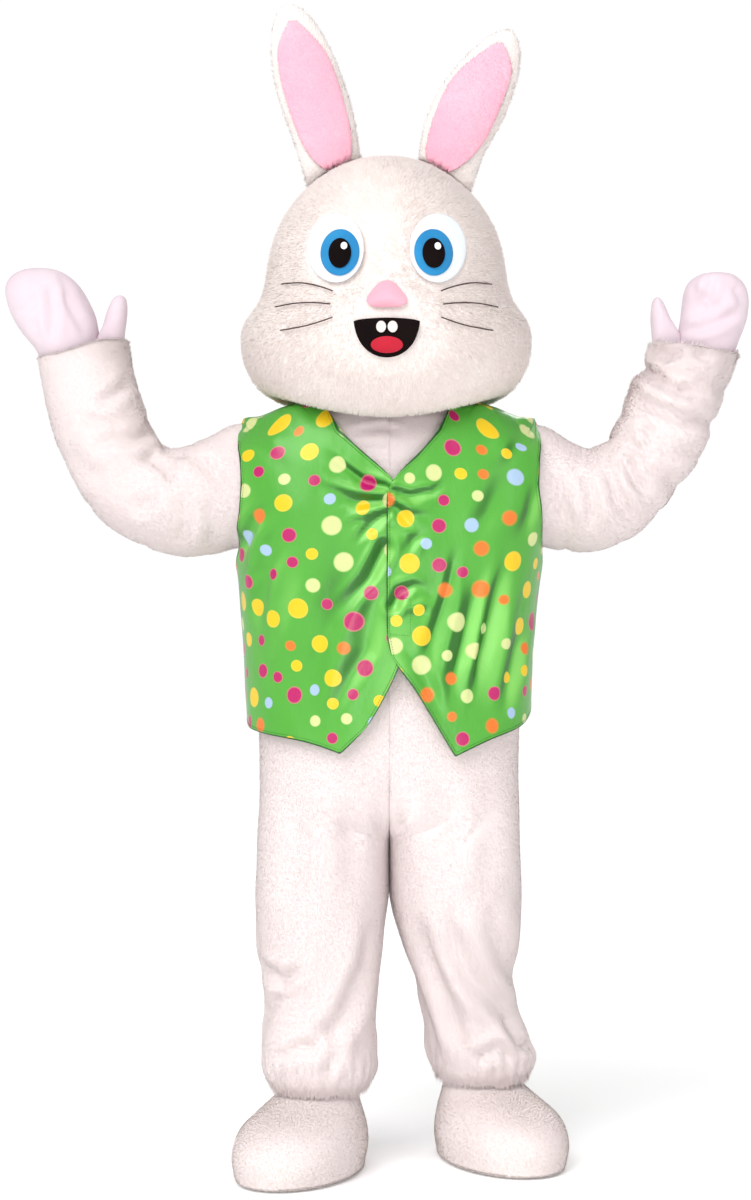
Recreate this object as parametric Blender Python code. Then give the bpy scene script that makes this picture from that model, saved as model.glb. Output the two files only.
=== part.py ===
"""Rabbit mascot costume: plush head, jumpsuit, polka-dot satin vest, mittens and shoe covers, worn and hollow.

Metres, +Z up. Heights are given above the ground under the wearer and the whole set hangs from an empty, so that
the origin lies where the wearer's shoulders carry it. The front faces -Y, so the wearer's left is +X.
"""
import math

import bmesh
import bpy
import numpy as np
from mathutils import Vector
from mathutils.bvhtree import BVHTree

# ---------------------------------------------------------------- driving dimensions
SHOULDER_HEIGHT = 1.360         # the row's origin above the ground
SEAM = 0.0003                   # between two pieces that are sewn together
LAY = 0.0008                    # between a piece and the cloth under it
PLUSH = 0.005                   # backing and pile of the jumpsuit
FOAM = 0.012                    # foam and plush of the head
SATIN = 0.002                   # vest
FELT = 0.0025                   # mittens

LEFT, RIGHT = 1, -1             # the wearer's sides, as the sign of X
UP = Vector((0.0, 0.0, 1.0))

# ---------------------------------------------------------------- jumpsuit sections
# Each leg is a tube that grows into its half of the torso, where it is cut off at the middle plane.
# height, outer x, inner x (below zero: cut at the middle), front y, back y, squareness
LEFT_LEG = [
    (0.1600, 0.2440, 0.0960, 0.0250, 0.1730, 2.0),     # elastic edge, tucked under
    (0.1380, 0.2540, 0.0870, 0.0140, 0.1830, 2.0),
    (0.1560, 0.2640, 0.0780, 0.0000, 0.1900, 2.0),
    (0.1890, 0.2660, 0.0700, -0.0120, 0.1900, 2.0),
    (0.2250, 0.2600, 0.0630, -0.0240, 0.1800, 2.0),
    (0.2610, 0.2380, 0.0580, -0.0320, 0.1700, 2.0),
    (0.2970, 0.2290, 0.0520, -0.0460, 0.1660, 2.0),
    (0.3330, 0.2280, 0.0430, -0.0600, 0.1620, 2.0),
    (0.3690, 0.2320, 0.0330, -0.0740, 0.1580, 2.0),
    (0.4050, 0.2370, 0.0200, -0.0880, 0.1540, 2.0),
    (0.4410, 0.2390, 0.0070, -0.1000, 0.1500, 2.1),
    (0.4900, 0.2390, 0.0025, -0.1120, 0.1480, 2.1),
    (0.5400, 0.2380, 0.0015, -0.1240, 0.1480, 2.2),
    (0.5900, 0.2350, 0.0005, -0.1340, 0.1500, 2.3),
]
RIGHT_LEG = [
    (0.1600, 0.1990, 0.0510, -0.0770, 0.0710, 2.0),
    (0.1380, 0.2080, 0.0420, -0.0870, 0.0810, 2.0),
    (0.1560, 0.2240, 0.0270, -0.1030, 0.0930, 2.0),
    (0.1890, 0.2330, 0.0170, -0.1120, 0.1020, 2.0),
    (0.2250, 0.2330, 0.0200, -0.1120, 0.1040, 2.0),
    (0.2610, 0.2280, 0.0220, -0.1080, 0.1040, 2.0),
    (0.2970, 0.2260, 0.0210, -0.1060, 0.1060, 2.0),
    (0.3330, 0.2320, 0.0170, -0.1080, 0.1100, 2.0),
    (0.3690, 0.2370, 0.0120, -0.1120, 0.1140, 2.0),
    (0.4050, 0.2390, 0.0090, -0.1160, 0.1190, 2.0),
    (0.4410, 0.2400, 0.0060, -0.1200, 0.1250, 2.1),
    (0.4900, 0.2400, 0.0025, -0.1260, 0.1330, 2.1),
    (0.5400, 0.2400, 0.0015, -0.1310, 0.1400, 2.2),
    (0.5900, 0.2390, 0.0005, -0.1360, 0.1460, 2.3),
]
HIPS = [
    (0.6400, 0.2350, -0.0400, -0.1420, 0.1520, 2.3),
    (0.7000, 0.2340, -0.1000, -0.1500, 0.1600, 2.4),
    (0.7700, 0.2350, -0.1900, -0.1570, 0.1640, 2.4),
    (0.8600, 0.2380, -0.2380, -0.1620, 0.1640, 2.5),
    (0.9800, 0.2460, -0.2460, -0.1660, 0.1600, 2.5),
]
ARMHOLE_LOW, ARMHOLE_HIGH = 1.106, 1.342
ARMHOLE_HALF_ANGLE = math.radians(31)
ARMHOLE_STEPS = 7
# height, half width, front y, back y, squareness of the chest, from the armpit to the shoulder point
CHEST = [
    (1.1060, 0.2540, -0.1660, 0.1560, 2.6),
    (1.1600, 0.2520, -0.1620, 0.1540, 2.7),
    (1.2400, 0.2460, -0.1530, 0.1500, 2.7),
    (1.3000, 0.2380, -0.1420, 0.1450, 2.6),
    (1.3420, 0.2240, -0.1250, 0.1320, 2.5),
]
SHOULDERS = [
    (1.3592, 0.1880, -0.1100, 0.1200, 2.3),
    (1.3764, 0.1400, -0.0970, 0.1080, 2.1),
    (1.3910, 0.1000, -0.0860, 0.0970, 2.0),
]
COLLAR_HEIGHT = 0.022
EAR_LIFT = 0.0018               # the ear's foot above the crown's faces
EAR_PANEL_THICK, EAR_PANEL_LIFT = 0.004, 0.0024
EAR_PANEL_FIRST, EAR_PANEL_ROWS = 0.25, 9
EYE_SPACING, EYE_HEIGHT = 0.088, 1.622
NOSE_HEIGHT, MOUTH_HEIGHT = 1.535, 1.490
FACE_LIFT, MOUTH_LIFT, EYE_LIFT = 0.0014, 0.0021, 0.0013    # patches above the faces under them
WHISKER_RADIUS, WHISKER_LIFT, WHISKER_POINTS = 0.0012, 0.0012, 13
# x and z of the root, x and z of the end, droop (for the left side, mirrored for the right)
WHISKERS = [
    ((0.092, 1.545), (0.182, 1.566), -0.006),
    ((0.096, 1.522), (0.192, 1.524), -0.004),
    ((0.092, 1.499), (0.182, 1.482), 0.004),
]
ZIP_FIRST_ROW = 17              # the seat's row of the torso
ZIP_HALF_ANGLE = math.radians(4.5)
ZIP_THICK = 0.0016
VEST_BACK_DIP = 0.012           # the back hem's middle below its ends
PANEL_COLUMNS = 8               # from the middle or the inner seam to the side seam
# side, height, angle from the front towards the side, half height, half angle, slope, depth:
# soft drapes of the legs, and the sag over each elastic edge
LEG_FOLDS = [
    (LEFT, 0.345, 10, 0.016, 34, -0.0016, 0.009),
    (LEFT, 0.300, 40, 0.015, 36, -0.0014, 0.008),
    (LEFT, 0.245, 15, 0.013, 60, -0.0003, 0.010),
    (LEFT, 0.420, -30, 0.018, 30, -0.0010, 0.006),
    (RIGHT, 0.330, 45, 0.015, 36, 0.0012, 0.008),
    (RIGHT, 0.255, 0, 0.014, 60, 0.0006, 0.008),
    (RIGHT, 0.222, -40, 0.013, 40, -0.0004, 0.007),
    (RIGHT, 0.450, -35, 0.018, 28, 0.0012, 0.006),
    (LEFT, 0.300, 180, 0.016, 60, 0.0004, 0.008),
    (RIGHT, 0.300, 170, 0.016, 60, -0.0004, 0.008),
    (LEFT, 0.560, 190, 0.016, 40, -0.0012, 0.007),
    (RIGHT, 0.560, 170, 0.016, 40, 0.0012, 0.007),
]


# ---------------------------------------------------------------- general helpers
def sculpted_curve(xs, ys, x):
    """Monotone cubic curve through the points (xs, ys), read at x."""
    xs, ys = np.asarray(xs, float), np.asarray(ys, float)
    slope = np.diff(ys) / np.diff(xs)
    tangent = np.concatenate(([slope[0]], (slope[1:] + slope[:-1]) / 2, [slope[-1]]))
    for i in range(1, len(slope)):
        if slope[i - 1] * slope[i] <= 0:
            tangent[i] = 0.0
        else:
            limit = 3 * min(abs(slope[i - 1]), abs(slope[i]))
            tangent[i] = math.copysign(min(abs(tangent[i]), limit), slope[i])
    x = min(max(x, xs[0]), xs[-1])
    i = min(int(np.searchsorted(xs, x, side="right")) - 1, len(slope) - 1)
    step = xs[i + 1] - xs[i]
    t = (x - xs[i]) / step
    return float(ys[i] * (1 + 2 * t) * (1 - t) ** 2 + ys[i + 1] * t * t * (3 - 2 * t)
                 + step * (tangent[i] * t * (1 - t) ** 2 + tangent[i + 1] * t * t * (t - 1)))


def read_table(table, row):
    """All the columns of a table of sections at a whole or broken row number."""
    rows = range(len(table))
    return [sculpted_curve(rows, [line[c] for line in table], row) for c in range(len(table[0]))]


def squared_radius(half_x, half_y, power, angle):
    """Distance from the middle of a squared ellipse to its edge at a polar angle."""
    c, s = abs(math.cos(angle)) / half_x, abs(math.sin(angle)) / half_y
    return (c ** power + s ** power) ** (-1 / power)


def smoothstep(low, high, x):
    t = min(max((x - low) / (high - low), 0.0), 1.0)
    return t * t * (3 - 2 * t)


def normal_of(surface, a, b, step_a, step_b, sense):
    """Unit normal of surface(a, b); sense 1 or -1 says which of its two sides is the outside."""
    along_a = surface(a + step_a, b) - surface(a - step_a, b)
    along_b = surface(a, b + step_b) - surface(a, b - step_b)
    return sense * along_a.cross(along_b).normalized()


def material(name, color, roughness=0.85, metallic=0.0):
    made = bpy.data.materials.get(name)
    if made is None:
        made = bpy.data.materials.new(name)
        made.use_nodes = True
        shader = made.node_tree.nodes["Principled BSDF"]
        shader.inputs["Base Color"].default_value = (*color, 1.0)
        shader.inputs["Roughness"].default_value = roughness
        shader.inputs["Metallic"].default_value = metallic
    return made


PLUSH_WHITE = ("plush", (0.80, 0.70, 0.67), 0.95)
PLUSH_PINK = ("ear_plush", (0.93, 0.55, 0.66), 0.95)
SATIN_GREEN = ("satin", (0.16, 0.50, 0.12), 0.40)
MITTEN_FELT = ("mitten_fabric", (0.88, 0.78, 0.84), 0.85)
EYE_WHITE = ("eye_white", (0.92, 0.92, 0.92), 0.35)
EYE_BLUE = ("eye_blue", (0.02, 0.22, 0.55), 0.35)
FACE_BLACK = ("face_black", (0.012, 0.012, 0.014), 0.45)
NOSE_PINK = ("nose_pink", (0.92, 0.38, 0.50), 0.6)
TONGUE_RED = ("tongue_red", (0.70, 0.02, 0.06), 0.6)
TOOTH_WHITE = ("tooth_white", (0.90, 0.89, 0.86), 0.4)


def make_object(name, mesh, finish):
    made = bpy.data.objects.new(name, mesh)
    costume.objects.link(made)
    made.parent = hanger
    mesh.materials.append(material(*finish))
    return made


def shell(name, outer, inner, finish, ring=False):
    """A cloth wall lofted between two grids of points, rows of equal length; ring joins each row end to end.

    Points that fall together, as at a pole, become one.
    """
    rows, columns = len(outer), len(outer[0])
    bm = bmesh.new()
    skins = [[[bm.verts.new(p) for p in row] for row in grid] for grid in (outer, inner)]
    spans = columns if ring else columns - 1

    def rim(outer_a, outer_b, inner_a, inner_b):
        """Close the wall's edge; the diagonal climbs inwards, so that two edges that meet are split alike."""
        if outer_a.co.z > outer_b.co.z:
            outer_a, outer_b, inner_a, inner_b = outer_b, outer_a, inner_b, inner_a
        bm.faces.new((outer_a, outer_b, inner_b))
        bm.faces.new((outer_a, inner_b, inner_a))

    for skin in skins:
        for i in range(rows - 1):
            for j in range(spans):
                k = (j + 1) % columns
                bm.faces.new((skin[i][j], skin[i][k], skin[i + 1][k], skin[i + 1][j]))
    for i in (0, rows - 1):
        for j in range(spans):
            k = (j + 1) % columns
            rim(skins[0][i][j], skins[0][i][k], skins[1][i][j], skins[1][i][k])
    if not ring:
        for j in (0, columns - 1):
            for i in range(rows - 1):
                rim(skins[0][i][j], skins[0][i + 1][j], skins[1][i][j], skins[1][i + 1][j])
    return finish_mesh(name, bm, finish)


def finish_mesh(name, bm, finish):
    bmesh.ops.remove_doubles(bm, verts=bm.verts, dist=1e-6)
    wires = [e for e in bm.edges if not e.link_faces]
    bmesh.ops.delete(bm, geom=wires, context="EDGES")
    flat = [f for f in bm.faces if f.calc_area() < 1e-10]
    bmesh.ops.delete(bm, geom=flat, context="FACES")
    bmesh.ops.recalc_face_normals(bm, faces=bm.faces)
    if bm.calc_volume(signed=True) < 0:
        bmesh.ops.reverse_faces(bm, faces=bm.faces)
    mesh = bpy.data.meshes.new(name)
    bm.to_mesh(mesh)
    bm.free()
    mesh.shade_smooth()
    mesh.set_sharp_from_angle(angle=math.radians(50))
    return make_object(name, mesh, finish)


def part_seam(grid, column, towards):
    """Draw one edge column of a grid back by half a seam, towards its neighbour column."""
    for row in grid:
        away = (row[towards] - row[column]).normalized()
        row[column] = row[column] + away * (SEAM / 2)


# ---------------------------------------------------------------- jumpsuit
def torso_rows(side):
    """Every section of one half of the jumpsuit, hem to neck, and the numbers of the armhole's end rows."""
    leg = LEFT_LEG if side == LEFT else RIGHT_LEG
    rows = list(leg) + list(HIPS)
    first = len(rows)
    middle, half = (ARMHOLE_LOW + ARMHOLE_HIGH) / 2, (ARMHOLE_HIGH - ARMHOLE_LOW) / 2
    heights = [line[0] for line in CHEST]
    for k in range(ARMHOLE_STEPS + 1):
        z = middle - half * math.cos(math.pi * k / ARMHOLE_STEPS)
        wide, front, back, power = [sculpted_curve(heights, [line[c] for line in CHEST], z) for c in range(1, 5)]
        rows.append((z, wide, -wide, front, back, power))
    rows += [(z, wide, -wide, front, back, power) for z, wide, front, back, power in SHOULDERS]
    return rows, first, first + ARMHOLE_STEPS


def tube_centre(section):
    z, outer, inner, front, back, _ = section
    return (outer + inner) / 2, (front + back) / 2, z


def tube_point(side, rows, row, turn):
    """A point of one half's tube: turn is the polar angle from the side seam, the front at -90 degrees.

    X is worked out for the left side and mirrored for the right.
    """
    section = read_table(rows, row)
    z, outer, inner, front, back, power = section
    middle_x, middle_y, _ = tube_centre(section)
    radius = squared_radius((outer - inner) / 2, (back - front) / 2, power, turn)
    radius -= leg_fold(side, z, turn)
    return Vector((side * (middle_x + radius * math.cos(turn)), middle_y + radius * math.sin(turn), z))


def leg_fold(side, z, turn):
    """Depth of the drapes at this place of a leg; a fold climbs or falls with its slope."""
    depth = 0.0
    from_front = math.degrees(turn) + 90
    for fold_side, height, angle, half_height, half_angle, slope, fold_depth in LEG_FOLDS:
        if fold_side != side:
            continue
        away = (from_front - angle + 180) % 360 - 180
        up = (z - height - slope * away) / half_height
        depth += fold_depth * math.exp(-up * up) * math.exp(-(away / half_angle) ** 2)
    return depth


def cut_turn(section, part):
    """Polar angle where the tube meets the middle plane, in front (part -1) or behind (part 1)."""
    _, outer, inner, front, back, power = section
    half_x, half_y = (outer - inner) / 2, (back - front) / 2
    middle_x = (outer + inner) / 2
    if inner >= 0:
        return part * math.pi
    y = half_y * max(1 - (middle_x / half_x) ** power, 0.0) ** (1 / power)
    return part * math.atan2(y, -middle_x)


def armhole_half_angle(row, first, last):
    if not first <= row <= last:
        return 0.0
    return ARMHOLE_HALF_ANGLE * math.sin(math.pi * (row - first) / (last - first))


def tube_pair(side, rows, row, turn):
    """The outer point and the inner point of the plush at a place of the tube."""
    def surface(a, b):
        return tube_point(side, rows, a, b)

    outside = surface(row, turn)
    normal = normal_of(surface, row, turn, 0.05, 0.01, -side)
    return outside, outside - normal * PLUSH


def suit_panel(name, side, part):
    """The front (part -1) or back (part 1) of one half of the jumpsuit, torso and leg in one cut."""
    rows, first, last = torso_rows(side)
    outer, inner = [], []
    for row, section in enumerate(rows):
        begin = cut_turn(section, part)
        end = part * armhole_half_angle(row, first, last)
        pairs = []
        for column in range(PANEL_COLUMNS + 1):
            pairs.append(tube_pair(side, rows, row, begin + (end - begin) * column / PANEL_COLUMNS))
        if section[2] < 0:
            pairs[0][0].x = 0.0
            pairs[0][1].x = max(side * pairs[0][1].x, 0.0) * side
        outer.append([pair[0] for pair in pairs])
        inner.append([pair[1] for pair in pairs])
    for grid in (outer, inner):
        part_seam(grid, 0, 1)
        part_seam(grid, -1, -2)
    return shell(name, outer, inner, PLUSH_WHITE)


# ---------------------------------------------------------------- sleeves
# The under and upper edge of each section of a sleeve, seen from the front, and its half depth:
# under x, under z, upper x, upper z, half depth (x for the left side, mirrored for the right)
LEFT_SLEEVE = [
    (0.2760, 1.1080, 0.2826, 1.3380, 0.079),
    (0.3310, 1.0980, 0.3080, 1.3180, 0.084),
    (0.3710, 1.1000, 0.3370, 1.2990, 0.090),
    (0.4090, 1.1090, 0.3620, 1.2920, 0.088),
    (0.4430, 1.1300, 0.3820, 1.3000, 0.086),
    (0.4660, 1.1480, 0.3940, 1.3120, 0.086),
    (0.4900, 1.1750, 0.4020, 1.3280, 0.087),
    (0.5130, 1.2060, 0.4100, 1.3480, 0.088),
    (0.5480, 1.2450, 0.4190, 1.3730, 0.088),
    (0.5710, 1.2830, 0.4320, 1.3990, 0.086),
    (0.5820, 1.3270, 0.4430, 1.4180, 0.084),
    (0.5980, 1.3610, 0.4550, 1.4350, 0.082),
    (0.6080, 1.3990, 0.4610, 1.4500, 0.082),
    (0.6230, 1.4310, 0.4630, 1.4660, 0.081),
    (0.6330, 1.4580, 0.4644, 1.4800, 0.080),
]
RIGHT_SLEEVE = [
    (0.2760, 1.1060, 0.2826, 1.3400, 0.079),
    (0.3240, 1.0880, 0.3020, 1.3280, 0.084),
    (0.3850, 1.0890, 0.3300, 1.3120, 0.092),
    (0.4400, 1.1070, 0.3600, 1.2980, 0.090),
    (0.4860, 1.1290, 0.3860, 1.2900, 0.088),
    (0.5256, 1.1590, 0.4010, 1.2970, 0.087),
    (0.5540, 1.2040, 0.4150, 1.3120, 0.087),
    (0.5810, 1.2470, 0.4240, 1.3320, 0.087),
    (0.6010, 1.2900, 0.4310, 1.3560, 0.086),
    (0.6160, 1.3410, 0.4410, 1.3820, 0.085),
    (0.6250, 1.3860, 0.4500, 1.4080, 0.084),
    (0.6336, 1.4250, 0.4600, 1.4400, 0.082),
    (0.6370, 1.4530, 0.4660, 1.4700, 0.081),
]


def sleeve_grids(side):
    """Outer and inner rings of a sleeve; the first lies against the armhole's edge."""
    rows, first, last = torso_rows(side)
    root_outer, root_inner = [], []
    around = 2 * ARMHOLE_STEPS
    for j in range(around):
        step = j if j <= ARMHOLE_STEPS else around - j
        part = -1 if j <= ARMHOLE_STEPS else 1
        row = first + step
        turn = part * armhole_half_angle(row, first, last)
        pair = tube_pair(side, rows, row, turn)
        root_outer.append(pair[0])
        root_inner.append(pair[1])
    hole_middle = sum(root_outer, Vector()) / around
    for ring in (root_outer, root_inner):
        for j, point in enumerate(ring):
            ring[j] = point + (hole_middle - point).normalized() * SEAM
    table = LEFT_SLEEVE if side == LEFT else RIGHT_SLEEVE
    outer, inner = [root_outer], [root_inner]
    for number in range(len(table)):
        outer_ring, inner_ring = [], []
        for j in range(around):
            angle = 2 * math.pi * j / around

            def surface(a, b):
                under_x, under_z, upper_x, upper_z, depth = read_table(table, a)
                middle = Vector((side * (under_x + upper_x) / 2, 0.0, (under_z + upper_z) / 2))
                half = Vector((side * (upper_x - under_x) / 2, 0.0, (upper_z - under_z) / 2))
                return middle - half * math.cos(b) + Vector((0.0, -depth * math.sin(b), 0.0))

            point = surface(number, angle)
            normal = normal_of(surface, number, angle, 0.05, 0.01, side)
            outer_ring.append(point)
            inner_ring.append(point - normal * PLUSH)
        outer.append(outer_ring)
        inner.append(inner_ring)
    return outer, inner


def collar_grids():
    """The neck band, stood on the neck edge of the four panels."""
    rows, _, _ = torso_rows(LEFT)
    top = len(rows) - 1
    outer, inner = [[], []], [[], []]
    around = 4 * PANEL_COLUMNS
    for j in range(around):
        pair = tube_pair(LEFT, rows, top, -math.pi / 2 + 2 * math.pi * j / around)
        for level, height in enumerate((SEAM, COLLAR_HEIGHT)):
            outer[level].append(pair[0] + UP * height)
            inner[level].append(pair[1] + UP * height)
    return outer, inner


def zip_grids():
    """The tape of the back zip, inside the back seam from the seat to the neck."""
    rows, _, _ = torso_rows(LEFT)
    outer, inner = [], []
    for row in range(ZIP_FIRST_ROW, len(rows)):
        line = []
        for side, away in ((RIGHT, ZIP_HALF_ANGLE), (LEFT, 0.0), (LEFT, ZIP_HALF_ANGLE)):
            line.append(tube_pair(side, rows, row, math.pi / 2 - away))
        outer.append([b + (b - a).normalized() * LAY for a, b in line])
        inner.append([b + (b - a).normalized() * (LAY + ZIP_THICK) for a, b in line])
    return outer, inner


# ---------------------------------------------------------------- vest
# height, half width, front y, back y, squareness of the vest's outer face
VEST = [
    (0.700, 0.2560, -0.1820, 0.1860, 2.5),
    (0.800, 0.2560, -0.1820, 0.1840, 2.5),
    (0.930, 0.2600, -0.1820, 0.1800, 2.5),
    (1.020, 0.2660, -0.1820, 0.1760, 2.6),
    (1.100, 0.2760, -0.1800, 0.1720, 2.8),
    (1.200, 0.2900, -0.1740, 0.1680, 3.0),
    (1.300, 0.2860, -0.1580, 0.1600, 3.0),
    (1.345, 0.2760, -0.1360, 0.1450, 2.8),
    (1.360, 0.2600, -0.1280, 0.1370, 2.7),
    (1.366, 0.1900, -0.1170, 0.1270, 2.5),
    (1.380, 0.1400, -0.1030, 0.1140, 2.3),
    (1.391, 0.1150, -0.0960, 0.1070, 2.1),
]
VEST_SHOULDER_HEIGHTS = (1.364, 1.372, 1.382, 1.390)
VEST_HOLE_LOW, VEST_HOLE_HIGH = 1.082, 1.360
VEST_HOLE_HALF_ANGLE = math.radians(23)
VEST_BODY_STEPS, VEST_HOLE_STEPS = 8, 6
VEST_COLUMNS, VEST_BACK_COLUMNS = 10, 14
VEST_LAP = 0.0042               # how far the left front stands off where it laps over the right
# height and x of each front edge: hem point, cutaway, closure, V neck
LEFT_FRONT_EDGE = [
    (0.745, 0.1140), (0.818, 0.0700), (0.861, 0.0440), (0.896, 0.0180), (0.930, -0.0050), (1.150, -0.0050),
    (1.230, -0.0050), (1.272, 0.0520), (1.312, 0.0860), (1.343, 0.1050),
]
RIGHT_FRONT_EDGE = [
    (0.750, 0.0856), (0.800, 0.0336), (0.852, 0.0076), (0.892, -0.0145), (0.930, -0.0240), (1.150, -0.0240),
    (1.230, -0.0145), (1.282, 0.0600), (1.316, 0.0910), (1.343, 0.1060),
]
NECK_EDGE_ANGLES = (34, 22, 13, 6)      # degrees from the shoulder seam, at VEST_SHOULDER_HEIGHTS
# how far along the front the hem is, from its point to the side seam, and its height
LEFT_HEM = [(0.0, 0.745), (0.35, 0.775), (0.7, 0.800), (1.0, 0.835)]
RIGHT_HEM = [(0.0, 0.750), (0.35, 0.772), (0.7, 0.785), (1.0, 0.800)]
# x and height of both ends of a fold of the front, half width, depth
VEST_FOLDS = [
    (-0.045, 1.212, -0.120, 1.262, 0.012, 0.0045),
    (-0.045, 1.190, -0.160, 1.220, 0.014, 0.0050),
    (-0.045, 1.150, -0.140, 1.135, 0.013, 0.0040),
    (-0.235, 1.190, -0.245, 1.060, 0.018, 0.0060),
    (0.090, 1.010, 0.070, 0.850, 0.018, 0.0050),
    (0.165, 1.060, 0.175, 0.880, 0.018, 0.0045),
    (-0.030, 0.960, -0.050, 0.830, 0.016, 0.0045),
    (-0.140, 0.980, -0.150, 0.820, 0.018, 0.0045),
    (0.050, 1.040, 0.120, 1.030, 0.014, 0.0045),
    (0.060, 1.220, 0.160, 1.260, 0.014, 0.0040),
]


def fold_depth(x, z):
    """Depth of the vest's folds at a place of its front."""
    depth = 0.0
    for x0, z0, x1, z1, half_width, deep in VEST_FOLDS:
        length = math.hypot(x1 - x0, z1 - z0)
        along = ((x - x0) * (x1 - x0) + (z - z0) * (z1 - z0)) / length ** 2
        across = ((x - x0) * (z1 - z0) - (z - z0) * (x1 - x0)) / length
        ends = smoothstep(-0.25, 0.15, along) * smoothstep(-0.25, 0.15, 1 - along)
        depth += deep * ends * math.exp(-(across / half_width) ** 2)
    return depth


def vest_section(z):
    heights = [line[0] for line in VEST]
    return [sculpted_curve(heights, [line[c] for line in VEST], z) for c in range(1, 5)]


def vest_point(z, turn, lap=0.0):
    """A point of the vest's outer face; turn is the polar angle, 0 at +X and -90 degrees in front."""
    wide, front, back, power = vest_section(z)
    middle_y = (front + back) / 2
    radius = squared_radius(wide, (back - front) / 2, power, turn)
    x, y = radius * math.cos(turn), radius * math.sin(turn)
    if y < 0:
        radius -= fold_depth(x, z) * smoothstep(0.0, 0.06, -y)
    radius += lap * smoothstep(0.075, 0.045, x) * smoothstep(1.30, 1.26, z)
    return Vector((radius * math.cos(turn), middle_y + radius * math.sin(turn), z))


def vest_turn(z, x):
    """The polar angle at which the front face has this x."""
    wide, front, back, power = vest_section(z)
    depth = (back - front) / 2 * (1 - min(abs(x) / wide, 1.0) ** power) ** (1 / power)
    return math.atan2(-depth, x)


def vest_pair(z, turn, lap=0.0):
    def surface(a, b):
        return vest_point(a, b, lap)

    outside = surface(z, turn)
    normal = normal_of(surface, z, turn, 0.001, 0.01, -1)
    return outside, outside - normal * SATIN


def vest_hole_half_angle(z):
    if not VEST_HOLE_LOW < z < VEST_HOLE_HIGH:
        return 0.0
    return VEST_HOLE_HALF_ANGLE * math.sin(math.pi * (z - VEST_HOLE_LOW) / (VEST_HOLE_HIGH - VEST_HOLE_LOW)) ** 0.5


def vest_heights(hem):
    """Heights of a column of the vest whose hem is at the height hem."""
    heights = [hem + (VEST_HOLE_LOW - hem) * k / VEST_BODY_STEPS for k in range(VEST_BODY_STEPS)]
    for k in range(VEST_HOLE_STEPS + 1):
        heights.append(VEST_HOLE_LOW + (VEST_HOLE_HIGH - VEST_HOLE_LOW) * k / VEST_HOLE_STEPS)
    return heights + list(VEST_SHOULDER_HEIGHTS)


def vest_front(name, side):
    edge = LEFT_FRONT_EDGE if side == LEFT else [(z, -x) for z, x in RIGHT_FRONT_EDGE]
    hem = LEFT_HEM if side == LEFT else RIGHT_HEM
    columns = []
    for column in range(VEST_COLUMNS + 1):
        share = column / VEST_COLUMNS
        heights = vest_heights(sculpted_curve([h[0] for h in hem], [h[1] for h in hem], share))
        line = []
        for number, z in enumerate(heights):
            on_shoulder = number - (len(heights) - len(VEST_SHOULDER_HEIGHTS))
            end = -vest_hole_half_angle(z)
            if on_shoulder >= 0:
                begin = -math.radians(NECK_EDGE_ANGLES[on_shoulder])
            else:
                x = sculpted_curve([e[0] for e in edge], [e[1] for e in edge], z)
                begin = vest_turn(z, x)
                if side == RIGHT:
                    begin = -math.pi - begin
            turn = begin + (end - begin) * share
            if side == RIGHT:
                turn = -math.pi - turn
            line.append(vest_pair(z, turn, VEST_LAP if side == LEFT else 0.0))
        columns.append(line)
    outer = [[line[row][0] for line in columns] for row in range(len(columns[0]))]
    inner = [[line[row][1] for line in columns] for row in range(len(columns[0]))]
    for grid in (outer, inner):
        part_seam(grid, -1, -2)
    return shell(name, outer, inner, SATIN_GREEN)


def vest_back(name):
    """The back, in one piece from side seam to side seam; above the armholes it narrows to the back of the neck."""
    columns = []
    for column in range(VEST_BACK_COLUMNS + 1):
        share = column / VEST_BACK_COLUMNS
        hem = LEFT_HEM[-1][1] + (RIGHT_HEM[-1][1] - LEFT_HEM[-1][1]) * share
        hem -= VEST_BACK_DIP * math.sin(math.pi * share)
        line = []
        for z in vest_heights(hem):
            half = vest_hole_half_angle(z)
            line.append(vest_pair(z, half + (math.pi - 2 * half) * share))
        columns.append(line)
    outer = [[line[row][0] for line in columns] for row in range(len(columns[0]))]
    inner = [[line[row][1] for line in columns] for row in range(len(columns[0]))]
    for grid in (outer, inner):
        part_seam(grid, 0, 1)
        part_seam(grid, -1, -2)
    return shell(name, outer, inner, SATIN_GREEN)


# ---------------------------------------------------------------- head
HEAD_MIDDLE = -0.005
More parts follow.
